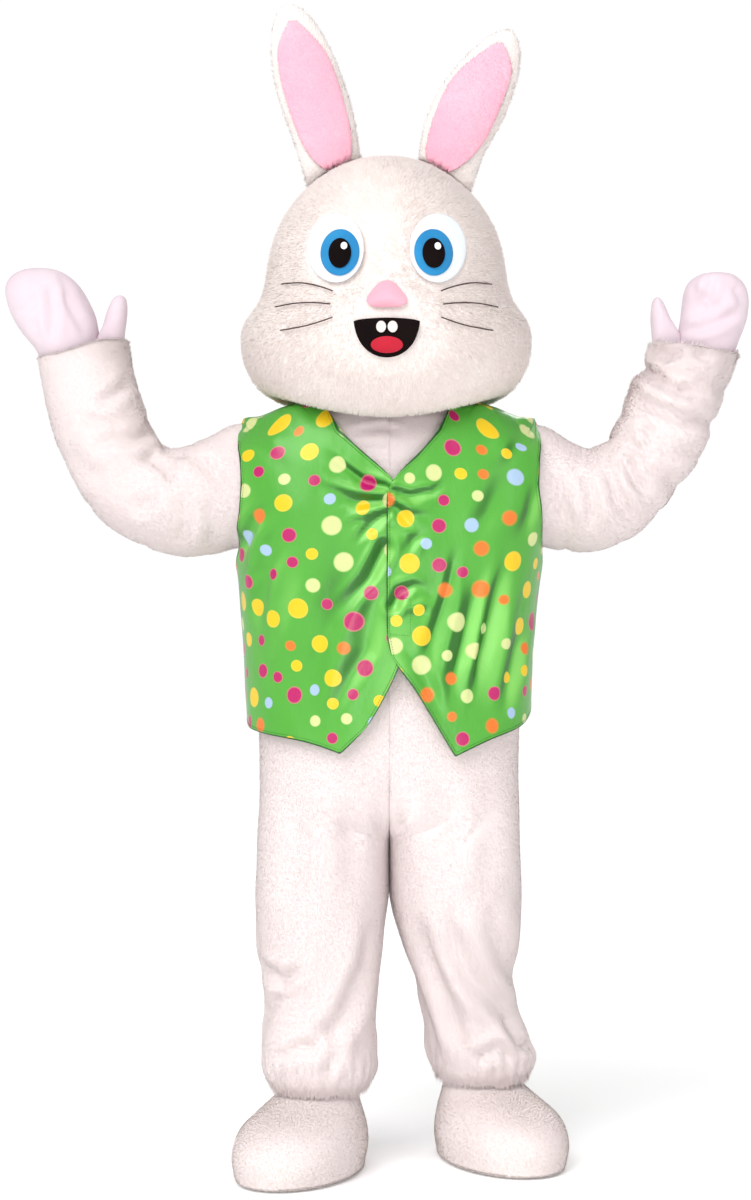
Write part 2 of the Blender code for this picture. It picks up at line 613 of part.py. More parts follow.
# half width, height at the sides, front y, front height, back y, back height, squareness, neck edge to crown
HEAD = [
    (0.1620, 1.3980, -0.1380, 1.3540, 0.1440, 1.3650, 2.2),
    (0.1900, 1.3780, -0.1680, 1.3335, 0.1720, 1.3400, 2.3),
    (0.2180, 1.3830, -0.1960, 1.3300, 0.1960, 1.3370, 2.3),
    (0.2430, 1.4120, -0.2160, 1.3480, 0.2120, 1.3660, 2.3),
    (0.2580, 1.4420, -0.2320, 1.3800, 0.2240, 1.3940, 2.3),
    (0.2635, 1.4800, -0.2430, 1.4220, 0.2340, 1.4320, 2.3),
    (0.2600, 1.5080, -0.2470, 1.4680, 0.2400, 1.4760, 2.3),
    (0.2460, 1.5300, -0.2460, 1.5120, 0.2420, 1.5180, 2.25),
    (0.2270, 1.5500, -0.2410, 1.5520, 0.2400, 1.5560, 2.2),
    (0.2180, 1.5850, -0.2340, 1.5900, 0.2340, 1.5920, 2.15),
    (0.2130, 1.6280, -0.2240, 1.6300, 0.2250, 1.6320, 2.1),
    (0.2030, 1.6700, -0.2100, 1.6700, 0.2120, 1.6700, 2.1),
    (0.1840, 1.7100, -0.1900, 1.7100, 0.1920, 1.7100, 2.0),
    (0.1540, 1.7480, -0.1600, 1.7480, 0.1620, 1.7480, 2.0),
    (0.1120, 1.7830, -0.1180, 1.7830, 0.1180, 1.7830, 2.0),
    (0.0600, 1.8070, -0.0640, 1.8070, 0.0640, 1.8070, 2.0),
    (0.0000, 1.8160, 0.0000, 1.8160, 0.0000, 1.8160, 2.0),
]
HEAD_COLUMNS = 28
HEAD_CHEEKS = 1.50              # the widest part's height, below all that the ears rest on
MUZZLE_HEIGHT, MUZZLE_HALF_WIDTH, MUZZLE_HALF_HEIGHT, MUZZLE_DEPTH = 1.455, 0.085, 0.055, 0.020


def head_point(row, turn):
    """A point of the head's outer face; its rings dip in front and behind to follow the shoulders."""
    row = min(max(row, 0.0), len(HEAD) - 1)
    half, side_z, front_y, front_z, back_y, back_z, power = read_table(HEAD, row)
    c, s = math.cos(turn), math.sin(turn)
    end_y, end_z = (abs(front_y), front_z) if s < 0 else (back_y, back_z)
    z = side_z + (end_z - side_z) * s * s
    if half < 1e-4:
        return Vector((HEAD_MIDDLE, 0.0, z))
    radius = squared_radius(half, max(end_y, 1e-4), power, turn)
    x, y = radius * c, radius * s
    if y < 0:
        bulge = math.exp(-(x / MUZZLE_HALF_WIDTH) ** 2 - ((z - MUZZLE_HEIGHT) / MUZZLE_HALF_HEIGHT) ** 2)
        y -= MUZZLE_DEPTH * bulge
    return Vector((HEAD_MIDDLE + x, y, z))


def head_half(name, part):
    """The face (part -1) or the back (part 1) of the head, from the neck opening to the crown."""
    half = HEAD_COLUMNS // 2
    top = len(HEAD) - 1
    outer, inner = [], []
    for row in range(len(HEAD)):
        outer_line, inner_line = [], []
        for column in range(half + 1):
            turn = part * math.pi * column / half
            point = head_point(row, turn)
            normal = UP if row == top else normal_of(head_point, row, turn, 0.05, 0.01, -1)
            outer_line.append(point)
            inner_line.append(point - normal * FOAM)
        for line in (outer_line, inner_line):
            for point in (line[0], line[-1]):
                point.y = 0.0
            for point in line:
                point.y += part * SEAM / 2
        outer.append(outer_line)
        inner.append(inner_line)
    return shell(name, outer, inner, PLUSH_WHITE)


def surface_of(*pieces):
    """A tree of the faces of finished pieces, to lay others on them."""
    points, faces = [], []
    for piece in pieces:
        start = len(points)
        points += [v.co.copy() for v in piece.data.vertices]
        faces += [[start + i for i in f.vertices] for f in piece.data.polygons]
    return BVHTree.FromPolygons(points, faces)


def lay_on_front(tree, x, z, lift):
    """The place in front of (x, z) on a surface, lifted off it."""
    hit, normal, _, _ = tree.ray_cast(Vector((x, -1.0, z)), Vector((0.0, 1.0, 0.0)))
    return hit + normal * lift


def face_patch(name, tree, outline, thickness, finish, lift=LAY, crown=0.7, rings=4, points=20):
    """A domed patch on the face; outline(angle) gives the x and z of its edge round its first two values."""
    centre_x, centre_z = outline(None)
    outer, inner = [], []
    for ring in range(rings + 1):
        share = ring / rings
        outer_line, inner_line = [], []
        for k in range(points):
            edge_x, edge_z = outline(2 * math.pi * k / points)
            x = centre_x + (edge_x - centre_x) * share
            z = centre_z + (edge_z - centre_z) * share
            base = lay_on_front(tree, x, z, lift)
            rise = thickness * (1 - crown * share ** 2)
            inner_line.append(base)
            outer_line.append(base + Vector((0.0, -rise, 0.0)))
        outer.append(outer_line)
        inner.append(inner_line)
    bm = bmesh.new()
    skins = [[[bm.verts.new(p) for p in line] for line in grid] for grid in (outer, inner)]
    for skin in skins:
        for i in range(rings):
            for j in range(points):
                k = (j + 1) % points
                bm.faces.new((skin[i][j], skin[i][k], skin[i + 1][k], skin[i + 1][j]))
    for j in range(points):
        k = (j + 1) % points
        bm.faces.new((skins[0][-1][j], skins[0][-1][k], skins[1][-1][k], skins[1][-1][j]))
    return finish_mesh(name, bm, finish)


def oval(x, z, half_x, half_z, tilt=0.0):
    """An oval's edge by angle, or its middle for None; tilt turns it, in radians."""
    def edge(angle):
        if angle is None:
            return x, z
        a, b = half_x * math.cos(angle), half_z * math.sin(angle)
        return x + a * math.cos(tilt) - b * math.sin(tilt), z + a * math.sin(tilt) + b * math.cos(tilt)
    return edge


def rounded_triangle(x, z, half_x, half_z):
    """A soft triangle standing on its point."""
    def edge(angle):
        if angle is None:
            return x, z
        reach = 1 + 0.16 * math.cos(3 * (angle - math.pi / 6 + math.pi / 3))
        return x + half_x * reach * math.cos(angle), z + half_z * reach * math.sin(angle)
    return edge


def smile(x, z, half_x, drop):
    """A half moon, flat side up, with round corners."""
    def edge(angle):
        if angle is None:
            return x, z - drop * 0.42
        low = math.sin(angle) < 0
        return x + half_x * math.cos(angle), z + (drop if low else 0.006) * math.sin(angle)
    return edge


# ears: height, middle x, half width, half thickness, middle y
LEFT_EAR = [
    (1.795, 0.1000, 0.0500, 0.026, 0.010),
    (1.825, 0.1120, 0.0620, 0.029, 0.010),
    (1.862, 0.1290, 0.0730, 0.030, 0.010),
    (1.905, 0.1440, 0.0760, 0.030, 0.012),
    (1.950, 0.1640, 0.0720, 0.028, 0.014),
    (1.990, 0.1850, 0.0580, 0.025, 0.016),
    (2.020, 0.1990, 0.0400, 0.020, 0.018),
    (2.040, 0.2090, 0.0210, 0.013, 0.019),
]
LEFT_EAR_TIP = Vector((0.2170, 0.020, 2.047))
RIGHT_EAR = [
    (1.795, 0.0980, 0.0520, 0.026, 0.010),
    (1.830, 0.1100, 0.0600, 0.029, 0.010),
    (1.880, 0.1230, 0.0670, 0.030, 0.010),
    (1.926, 0.1370, 0.0690, 0.030, 0.012),
    (1.978, 0.1510, 0.0650, 0.028, 0.014),
    (2.025, 0.1640, 0.0540, 0.025, 0.016),
    (2.060, 0.1730, 0.0370, 0.020, 0.018),
    (2.078, 0.1770, 0.0200, 0.013, 0.019),
]
RIGHT_EAR_TIP = Vector((-0.1790, 0.020, 2.086))
EAR_POINTS = 16
EAR_PANEL_SHARE = 0.73          # of the ear's width that the pink panel takes


def ear_ring(side, row_values):
    z, x, half, thick, y = row_values
    ring = []
    for k in range(EAR_POINTS):
        angle = 2 * math.pi * k / EAR_POINTS
        ring.append(Vector((side * x + half * math.cos(angle), y + thick * math.sin(angle), z)))
    return ring


def height_over(tree, x, y):
    """Height of a surface under a place; a ray that slips through the crown's seam is cast beside it."""
    for beside in (0.0, 2 * SEAM, -2 * SEAM):
        hit, _, _, _ = tree.ray_cast(Vector((x, y + beside, 3.0)), -UP)
        if hit is not None and hit.z > HEAD_CHEEKS:
            return hit.z
    raise ValueError("no surface here")


def ear(name, side, table, tip, head_tree):
    """The stuffed white ear, its foot laid on the crown."""
    rings = [ear_ring(side, line) for line in table]
    foot = rings[0]
    middle = sum(foot, Vector()) / EAR_POINTS
    inside = [[middle + (p - middle) * share for p in foot] for share in (0.33, 0.66)]
    for p in foot + inside[0] + inside[1] + [middle]:
        p.z = height_over(head_tree, p.x, p.y) + EAR_LIFT
    rings = [[middle] * EAR_POINTS] + inside + rings + [[tip] * EAR_POINTS]
    bm = bmesh.new()
    loops = [[bm.verts.new(p) for p in ring] for ring in rings]
    for i in range(len(loops) - 1):
        for j in range(EAR_POINTS):
            k = (j + 1) % EAR_POINTS
            bm.faces.new((loops[i][j], loops[i][k], loops[i + 1][k], loops[i + 1][j]))
    return finish_mesh(name, bm, PLUSH_WHITE)


def ear_panel(name, side, table, tip, ear_tree):
    """The pink lining on the front of an ear."""
    columns = 4
    outer, inner = [], []
    rows = [read_table(table, row) for row in np.linspace(EAR_PANEL_FIRST, len(table) - 1.6, EAR_PANEL_ROWS)]
    for number, (z, x, half, _, _) in enumerate(rows):
        share = number / (len(rows) - 1)
        width = half * EAR_PANEL_SHARE * min(1.0, (1 - share) * 2.5 + 0.35, 0.42 + share * 4.0)
        outer_line, inner_line = [], []
        for column in range(columns + 1):
            across = 2 * column / columns - 1
            base = lay_on_front(ear_tree, side * x + width * across, z, EAR_PANEL_LIFT)
            inner_line.append(base)
            outer_line.append(base + Vector((0.0, -EAR_PANEL_THICK, 0.0)))
        outer.append(outer_line)
        inner.append(inner_line)
    return shell(name, outer, inner, PLUSH_PINK)


def whisker(name, tree, side, start, end, droop):
    """A stiff dark whisker laid on the cheek: x (for the left side) and z of its ends."""
    curve = bpy.data.curves.new(name, "CURVE")
    curve.dimensions = "3D"
    curve.bevel_depth = WHISKER_RADIUS
    curve.bevel_resolution = 0
    curve.use_fill_caps = True
    spline = curve.splines.new("POLY")
    spline.points.add(WHISKER_POINTS - 1)
    for k in range(WHISKER_POINTS):
        share = k / (WHISKER_POINTS - 1)
        x = side * (start[0] + (end[0] - start[0]) * share) + HEAD_MIDDLE
        z = start[1] + (end[1] - start[1]) * share - droop * math.sin(math.pi * share)
        spline.points[k].co = (*lay_on_front(tree, x, z, WHISKER_RADIUS + WHISKER_LIFT), 1.0)
    made = bpy.data.objects.new(name, curve)
    costume.objects.link(made)
    made.parent = hanger
    curve.materials.append(material(*FACE_BLACK))
    return made


def build_face(tree):
    """Eyes, nose, mouth and whiskers of a plain cartoon rabbit."""
    for side, word in ((LEFT, "left"), (RIGHT, "right")):
        x = HEAD_MIDDLE + side * EYE_SPACING
        white = face_patch(f"eye_white_{word}", tree, oval(x, EYE_HEIGHT, 0.050, 0.064, side * -0.12), 0.012,
                           EYE_WHITE, lift=FACE_LIFT, points=16)
        iris_x = x - side * 0.008
        iris = face_patch(f"eye_iris_{word}", surface_of(white),
                          oval(iris_x, EYE_HEIGHT - 0.010, 0.034, 0.042), 0.0035, EYE_BLUE, lift=EYE_LIFT,
                          crown=0.5, rings=3, points=16)
        pupil = face_patch(f"eye_pupil_{word}", surface_of(iris),
                           oval(iris_x, EYE_HEIGHT - 0.012, 0.020, 0.027), 0.003, FACE_BLACK, lift=EYE_LIFT,
                           crown=0.5, rings=2, points=14)
        face_patch(f"eye_glint_{word}", surface_of(pupil),
                   oval(iris_x + 0.007, EYE_HEIGHT + 0.000, 0.006, 0.007), 0.0015, EYE_WHITE, crown=0.4,
                   rings=1, points=10)
        for number, (start, end, droop) in enumerate(WHISKERS):
            whisker(f"whisker_{word}_{number + 1}", tree, side, start, end, droop)
    face_patch("nose", tree, rounded_triangle(HEAD_MIDDLE, NOSE_HEIGHT, 0.033, 0.024), 0.018, NOSE_PINK,
               lift=FACE_LIFT, crown=0.75, rings=3, points=18)
    mouth = face_patch("mouth", tree, smile(HEAD_MIDDLE, MOUTH_HEIGHT, 0.056, 0.062), 0.003, FACE_BLACK,
                       lift=MOUTH_LIFT, crown=0.3, points=20)
    mouth_tree = surface_of(mouth)
    face_patch("tongue", mouth_tree, oval(HEAD_MIDDLE, MOUTH_HEIGHT - 0.040, 0.028, 0.0145), 0.006,
               TONGUE_RED, lift=EYE_LIFT, crown=0.7, rings=2, points=14)
    for side, word in ((LEFT, "left"), (RIGHT, "right")):
        face_patch(f"tooth_{word}", mouth_tree,
                   oval(HEAD_MIDDLE + side * 0.0096, MOUTH_HEIGHT - 0.0100, 0.0088, 0.0105), 0.004,
                   TOOTH_WHITE, lift=EYE_LIFT, crown=0.35, rings=2, points=12)


# ---------------------------------------------------------------- mittens
# height, outer x, inner x, half depth, middle y (x for the left side, mirrored for the right), wrist to tip
LEFT_MITTEN = [
    (1.430, 0.6152, 0.5225, 0.050, 0.000),
    (1.462, 0.6212, 0.5215, 0.054, 0.000),
    (1.490, 0.6320, 0.5220, 0.052, 0.000),
    (1.516, 0.6430, 0.5235, 0.050, -0.002),
    (1.544, 0.6480, 0.5250, 0.048, -0.005),
    (1.570, 0.6450, 0.5270, 0.044, -0.010),
    (1.590, 0.6350, 0.5380, 0.036, -0.015),
    (1.601, 0.6180, 0.5560, 0.022, -0.019),
]
LEFT_MITTEN_TIP = Vector((0.586, -0.020, 1.606))
RIGHT_MITTEN = [
    (1.430, 0.6282, 0.5225, 0.050, 0.000),
    (1.462, 0.6280, 0.5220, 0.054, 0.000),
    (1.490, 0.6570, 0.5230, 0.052, 0.000),
    (1.520, 0.6760, 0.5240, 0.049, 0.000),
    (1.548, 0.6860, 0.5360, 0.045, 0.000),
    (1.575, 0.6920, 0.5500, 0.040, -0.002),
    (1.597, 0.6840, 0.5700, 0.031, -0.004),
    (1.610, 0.6640, 0.5920, 0.018, -0.006),
]
RIGHT_MITTEN_TIP = Vector((-0.630, -0.006, 1.616))
LEFT_THUMB = [
    (1.445, 0.5180, 0.4690, 0.022, -0.008),
    (1.480, 0.5180, 0.4720, 0.026, -0.010),
    (1.510, 0.5130, 0.4660, 0.025, -0.014),
    (1.538, 0.4990, 0.4670, 0.021, -0.017),
    (1.556, 0.4910, 0.4700, 0.014, -0.019),
]
LEFT_THUMB_TIP = Vector((0.4810, -0.020, 1.5640))
RIGHT_THUMB = [
    (1.445, 0.5180, 0.4690, 0.022, -0.008),
    (1.480, 0.5185, 0.4758, 0.026, -0.010),
    (1.512, 0.5160, 0.4680, 0.025, -0.012),
    (1.542, 0.5060, 0.4660, 0.021, -0.014),
    (1.560, 0.4960, 0.4700, 0.014, -0.015),
]
RIGHT_THUMB_TIP = Vector((-0.4830, -0.015, 1.5680))
MITTEN_POINTS, THUMB_POINTS = 16, 8


def finger_point(side, table, row, angle):
    z, outer_x, inner_x, depth, y = read_table(table, row)
    middle, half = (outer_x + inner_x) / 2, (outer_x - inner_x) / 2
    return Vector((side * (middle + half * math.cos(angle)), y + depth * math.sin(angle), z))


def finger_grids(side, table, tip, points, first=0, last=None):
    """Outer and inner rows of a pouch that is open at the wrist and closed at its tip."""
    last = points if last is None else last
    outer, inner = [], []
    for row in range(len(table)):
        outer_line, inner_line = [], []
        for k in range(first, last + 1):
            angle = 2 * math.pi * k / points

            def surface(a, b):
                return finger_point(side, table, a, b)

            point = surface(row, angle)
            normal = normal_of(surface, row, angle, 0.05, 0.01, -side)
            outer_line.append(point)
            inner_line.append(point - normal * FELT)
        outer.append(outer_line)
        inner.append(inner_line)
    outer.append([tip.copy() for _ in outer[0]])
    inner.append([tip - UP * FELT * 1.5 for _ in outer[0]])
    return outer, inner


def mitten(side, word):
    table, tip, thumb_table, thumb_tip = (
        (LEFT_MITTEN, LEFT_MITTEN_TIP, LEFT_THUMB, LEFT_THUMB_TIP) if side == LEFT
        else (RIGHT_MITTEN, RIGHT_MITTEN_TIP, RIGHT_THUMB, RIGHT_THUMB_TIP))
    half = MITTEN_POINTS // 2
    for piece, first, sign in (("back", 0, 1), ("palm", half, -1)):
        outer, inner = finger_grids(side, table, tip, MITTEN_POINTS, first, first + half)
        for grid in (outer, inner):
            for line in grid:
                for point in line:
                    point.y += sign * SEAM / 2
        shell(f"mitten_{piece}_{word}", outer, inner, MITTEN_FELT)
    outer, inner = finger_grids(side, thumb_table, thumb_tip, THUMB_POINTS, 0, THUMB_POINTS - 1)
    shell(f"mitten_thumb_{word}", outer, inner, MITTEN_FELT, ring=True)


# ---------------------------------------------------------------- shoe covers
SOLE_THICK = 0.0100
FOOT_TURN_OUT = math.radians(24)
FOOT_POINTS = 20
# height, middle ahead of the foot's own, half length, half width, flare towards the toe
FOOT = [
    (0.0104, 0.000, 0.1700, 0.1010, 0.08),
    (0.0300, 0.000, 0.1760, 0.1100, 0.10),
    (0.0600, 0.000, 0.1730, 0.1110, 0.10),
    (0.0880, -0.008, 0.1590, 0.1040, 0.08),
    (0.1100, -0.028, 0.1260, 0.0910, 0.05),
    (0.1250, -0.055, 0.0920, 0.0780, 0.02),
    (0.1380, -0.069, 0.0720, 0.0710, 0.00),
    (0.1780, -0.070, 0.0710, 0.0710, 0.00),
]
LEFT_ANKLE, RIGHT_ANKLE = Vector((0.170, 0.099, 0.0)), Vector((-0.125, -0.003, 0.0))
ANKLE_BACK = 0.070              # the ankle behind the foot's middle


def foot_axes(side):
    ahead = Vector((side * math.sin(FOOT_TURN_OUT), -math.cos(FOOT_TURN_OUT), 0.0))
    across = Vector((ahead.y * -side, ahead.x * side, 0.0))
    ankle = LEFT_ANKLE if side == LEFT else RIGHT_ANKLE
    return ankle + ahead * ANKLE_BACK, ahead, across


def foot_point(side, row, angle):
    z, ahead_by, half_length, half_width, flare = read_table(FOOT, row)
    middle, ahead, across = foot_axes(side)
    width = half_width * (1 + flare * math.cos(angle))
    return (middle + ahead * (ahead_by + half_length * math.cos(angle)) + across * (width * math.sin(angle))
            + UP * z)


def shoe_cover(side, word):
    outer, inner = [], []
    for row in range(len(FOOT)):
        outer_line, inner_line = [], []
        for k in range(FOOT_POINTS):
            angle = 2 * math.pi * k / FOOT_POINTS

            def surface(a, b):
                return foot_point(side, a, b)

            point = surface(row, angle)
            normal = normal_of(surface, row, angle, 0.05, 0.01, -side)
            if row == 0:
                normal = Vector((normal.x, normal.y, 0.0)).normalized()
            outer_line.append(point)
            inner_line.append(point - normal * PLUSH)
        outer.append(outer_line)
        inner.append(inner_line)
    shell(f"foot_upper_{word}", outer, inner, PLUSH_WHITE, ring=True)
    bm = bmesh.new()
    middle, _, _ = foot_axes(side)
    rings = []
    for height, shrink in ((0.0, 0.97), (SOLE_THICK, 1.0)):
        ring = []
        for k in range(FOOT_POINTS):
            point = foot_point(side, 0, 2 * math.pi * k / FOOT_POINTS)
            flat = Vector((point.x, point.y, 0.0))
            ring.append(bm.verts.new(middle + (flat - middle) * shrink + UP * height))
        rings.append(ring)
        bm.faces.new(ring)
    for j in range(FOOT_POINTS):
        k = (j + 1) % FOOT_POINTS
        bm.faces.new((rings[0][j], rings[0][k], rings[1][k], rings[1][j]))
    finish_mesh(f"foot_sole_{word}", bm, PLUSH_WHITE)


# ---------------------------------------------------------------- assembly
for old in list(bpy.data.objects):
    bpy.data.objects.remove(old, do_unlink=True)
costume = bpy.data.collections.new("rabbit_mascot_costume")
bpy.context.scene.collection.children.link(costume)
hanger = bpy.data.objects.new("hanger", None)
hanger.location = (0.0, 0.0, -SHOULDER_HEIGHT)
costume.objects.link(hanger)

for side, word in ((LEFT, "left"), (RIGHT, "right")):
    suit_panel(f"suit_front_{word}", side, -1)
    suit_panel(f"suit_back_{word}", side, 1)
    shell(f"suit_sleeve_{word}", *sleeve_grids(side), PLUSH_WHITE, ring=True)
    vest_front(f"vest_front_{word}", side)
    mitten(side, word)
    shoe_cover(side, word)
shell("suit_collar", *collar_grids(), PLUSH_WHITE, ring=True)
shell("suit_back_zip", *zip_grids(), PLUSH_WHITE)
vest_back("vest_back")

face = head_half("head_face", -1)
back = head_half("head_back", 1)
crown = surface_of(face, back)
for side, word, table, tip in ((LEFT, "left", LEFT_EAR, LEFT_EAR_TIP), (RIGHT, "right", RIGHT_EAR, RIGHT_EAR_TIP)):
    made = ear(f"ear_{word}", side, table, tip, crown)
    ear_panel(f"ear_panel_{word}", side, table, tip, surface_of(made))
build_face(surface_of(face))
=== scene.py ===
"""Dresses the rabbit mascot costume in plush, printed satin, fleece and felt, and lights it."""
import math

import bmesh
import bpy
import numpy as np
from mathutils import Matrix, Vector
from mathutils.bvhtree import BVHTree
from mathutils.kdtree import KDTree


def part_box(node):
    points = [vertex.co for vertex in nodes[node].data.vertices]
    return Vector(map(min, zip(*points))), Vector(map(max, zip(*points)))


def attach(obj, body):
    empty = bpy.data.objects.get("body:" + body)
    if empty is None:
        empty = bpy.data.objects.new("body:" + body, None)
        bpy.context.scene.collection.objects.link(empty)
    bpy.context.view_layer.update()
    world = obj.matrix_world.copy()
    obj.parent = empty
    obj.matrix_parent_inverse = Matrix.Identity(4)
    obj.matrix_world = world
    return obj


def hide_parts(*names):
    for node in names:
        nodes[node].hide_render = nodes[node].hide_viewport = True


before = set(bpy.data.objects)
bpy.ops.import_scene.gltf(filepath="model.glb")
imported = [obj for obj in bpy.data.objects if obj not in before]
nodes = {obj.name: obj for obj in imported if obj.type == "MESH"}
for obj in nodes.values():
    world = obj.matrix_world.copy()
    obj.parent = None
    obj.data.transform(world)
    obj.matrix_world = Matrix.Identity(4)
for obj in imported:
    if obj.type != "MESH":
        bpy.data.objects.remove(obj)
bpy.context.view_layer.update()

GROUND = -1.36
VIEW_DISTANCE, VIEW_X, VIEW_HEIGHT = 4.6, -0.0243, -0.343
METRES_A_PIXEL, MIDDLE_PX, MIDDLE_PY = 0.0018, 375.5, 600.0

# ---------------------------------------------------------------- camera and light
def placed(name, data):
    made = bpy.data.objects.new(name, data)
    bpy.context.collection.objects.link(made)
    return made


camera_data = bpy.data.cameras.new("camera")
camera_data.lens, camera_data.sensor_width = 76.7, 36.0
camera = placed("camera", camera_data)
camera.location = (VIEW_X, -VIEW_DISTANCE, VIEW_HEIGHT)
camera.rotation_euler = (math.radians(90), 0, 0)
bpy.context.scene.camera = camera


def area_light(name, place, target, size, power, colour=(1.0, 1.0, 1.0)):
    data = bpy.data.lights.new(name, "AREA")
    data.shape, data.size, data.energy, data.color = "DISK", size, power, colour
    lamp = placed(name, data)
    lamp.location = place
    lamp.rotation_euler = (Vector(target) - Vector(place)).to_track_quat("-Z", "Y").to_euler()


area_light("fill", (2.6, -2.6, 0.9), (0, 0, -0.3), 2.0, 16)
area_light("back", (1.2, 3.2, 2.2), (0, 0, -0.1), 1.6, 30)
area_light("chin", (0.3, -3.4, -1.0), (0, 0, -0.05), 1.8, 32)
sun_data = bpy.data.lights.new("key", "SUN")
sun_data.energy, sun_data.angle = 2.4, math.radians(48)
sun = placed("key", sun_data)
sun.rotation_euler = Vector((0.38, 0.72, -0.62)).to_track_quat("-Z", "Y").to_euler()

world = bpy.data.worlds.new("studio")
world.use_nodes = True
backdrop = world.node_tree.nodes["Background"]
backdrop.inputs["Color"].default_value = (1.0, 1.0, 1.0, 1.0)
seen_by = world.node_tree.nodes.new("ShaderNodeLightPath")
strength = world.node_tree.nodes.new("ShaderNodeMapRange")
strength.inputs["To Min"].default_value, strength.inputs["To Max"].default_value = 0.52, 1.05
world.node_tree.links.new(seen_by.outputs["Is Camera Ray"], strength.inputs["Value"])
world.node_tree.links.new(strength.outputs["Result"], backdrop.inputs["Strength"])
bpy.context.scene.world = world
bpy.context.scene.view_settings.view_transform = "Standard"


# ---------------------------------------------------------------- numbers
def smoothstep(low, high, value):
    t = np.clip((value - low) / (high - low), 0.0, 1.0)
    return t * t * (3.0 - 2.0 * t)


def lattice(cells, seed):
    """A number from -1 to 1 for each whole cell, the same on every run."""
    mixed = (cells[:, 0] * 73856093) ^ (cells[:, 1] * 19349663) ^ (cells[:, 2] * 83492791) ^ (seed * 2654435761)
    mixed = (mixed ^ (mixed >> 13)) * 1274126177
    mixed = (mixed ^ (mixed >> 16)) & 0xFFFFFF
    return mixed / float(0x7FFFFF) - 1.0


def soft_noise(points, size, seed):
    """Smooth noise from -1 to 1 with features of this size."""
    scaled = np.asarray(points, float) / np.asarray(size, float)
    cell = np.floor(scaled).astype(np.int64)
    part = scaled - cell
    part = part * part * (3.0 - 2.0 * part)
    total = np.zeros(len(scaled))
    for dx in (0, 1):
        for dy in (0, 1):
            for dz in (0, 1):
                weight = (part[:, 0] if dx else 1 - part[:, 0]) * (part[:, 1] if dy else 1 - part[:, 1]) \
                    * (part[:, 2] if dz else 1 - part[:, 2])
                total += weight * lattice(cell + (dx, dy, dz), seed)
    return total


def unit(vectors):
    return vectors / np.maximum(np.linalg.norm(vectors, axis=1, keepdims=True), 1e-9)


def outward(points):
    way = points * (1.0, 1.25, 0.0)
    return unit(way)


def seen_at(points):
    """Where the camera sees each point, in the picture's own units (pixels of a 751 x 1200 frame)."""
    scale = METRES_A_PIXEL * (VIEW_DISTANCE + points[:, 1]) / VIEW_DISTANCE
    return np.stack([MIDDLE_PX + (points[:, 0] - VIEW_X) / scale,
                     MIDDLE_PY - (points[:, 2] - VIEW_HEIGHT) / scale], axis=1)


def from_line(places, line):
    """Distance of each place to a line of points, how far along it is nearest, from 0 to 1, and where."""
    best, along, spots = np.full(len(places), 1e9), np.zeros(len(places)), np.zeros(places.shape)
    lengths = [math.dist(line[k], line[k + 1]) for k in range(len(line) - 1)]
    whole, before = sum(lengths), 0.0
    for k, length in enumerate(lengths):
        start, end = np.array(line[k], float), np.array(line[k + 1], float)
        t = np.clip(((places - start) @ (end - start)) / length ** 2, 0, 1)
        spot = start + t[:, None] * (end - start)
        away = np.linalg.norm(places - spot, axis=1)
        nearer = away < best
        best[nearer], spots[nearer] = away[nearer], spot[nearer]
        along[nearer] = ((before + t * length) / whole)[nearer]
        before += length
    return best, along, spots


def pressed(points, way, creases):
    """How far each point moves out for the creases drawn in the camera's view, on the side that faces it."""
    places = seen_at(points)
    moved = np.zeros(len(points))
    for line, half, depth in creases:
        away, along, _ = from_line(places, line)
        fade = smoothstep(0.0, 0.25, along) * smoothstep(1.0, 0.75, along)
        near = away / half
        moved -= depth * fade * (np.exp(-near ** 2) - 0.5 * np.exp(-((near - 2.0) / 0.9) ** 2))
    return moved * smoothstep(-0.15, 0.30, -way[:, 1])


# ---------------------------------------------------------------- meshes
def arrays(mesh):
    """Points, triangles, point normals."""
    mesh.calc_loop_triangles()
    points = np.empty(len(mesh.vertices) * 3, np.float32)
    mesh.vertices.foreach_get("co", points)
    normals = np.empty(len(mesh.vertices) * 3, np.float32)
    mesh.vertex_normals.foreach_get("vector", normals)
    triangles = np.empty(len(mesh.loop_triangles) * 3, np.int32)
    mesh.loop_triangles.foreach_get("vertices", triangles)
    return points.reshape(-1, 3).astype(float), triangles.reshape(-1, 3), normals.reshape(-1, 3).astype(float)


def store(mesh, name, values, domain="POINT"):
    """Keeps a number, or a vector, for each point or face under this name."""
    kind, field = ("FLOAT_VECTOR", "vector") if values.ndim == 2 else ("FLOAT", "value")
    mesh.attributes.new(name, kind, domain).data.foreach_set(field, values.astype(np.float32).ravel())


LONG_DIAGONAL, BENT_DIAGONAL, MUCH_SHORTER = 0.1, 0.35, 0.7      # metres, radians, share of its length


def turn_diagonals(form):
    """Turns each long diagonal that cuts across the curve of the cloth, under the arm, to the shorter one."""
    for edge in list(form.edges):
        if not edge.is_valid or len(edge.link_faces) != 2:
            continue
        if edge.calc_length() > LONG_DIAGONAL and edge.calc_face_angle(0) > BENT_DIAGONAL:
            far = [next(v for v in face.verts if v not in edge.verts) for face in edge.link_faces]
            if (far[0].co - far[1].co).length < MUCH_SHORTER * edge.calc_length():
                bmesh.utils.edge_rotate(edge, True)


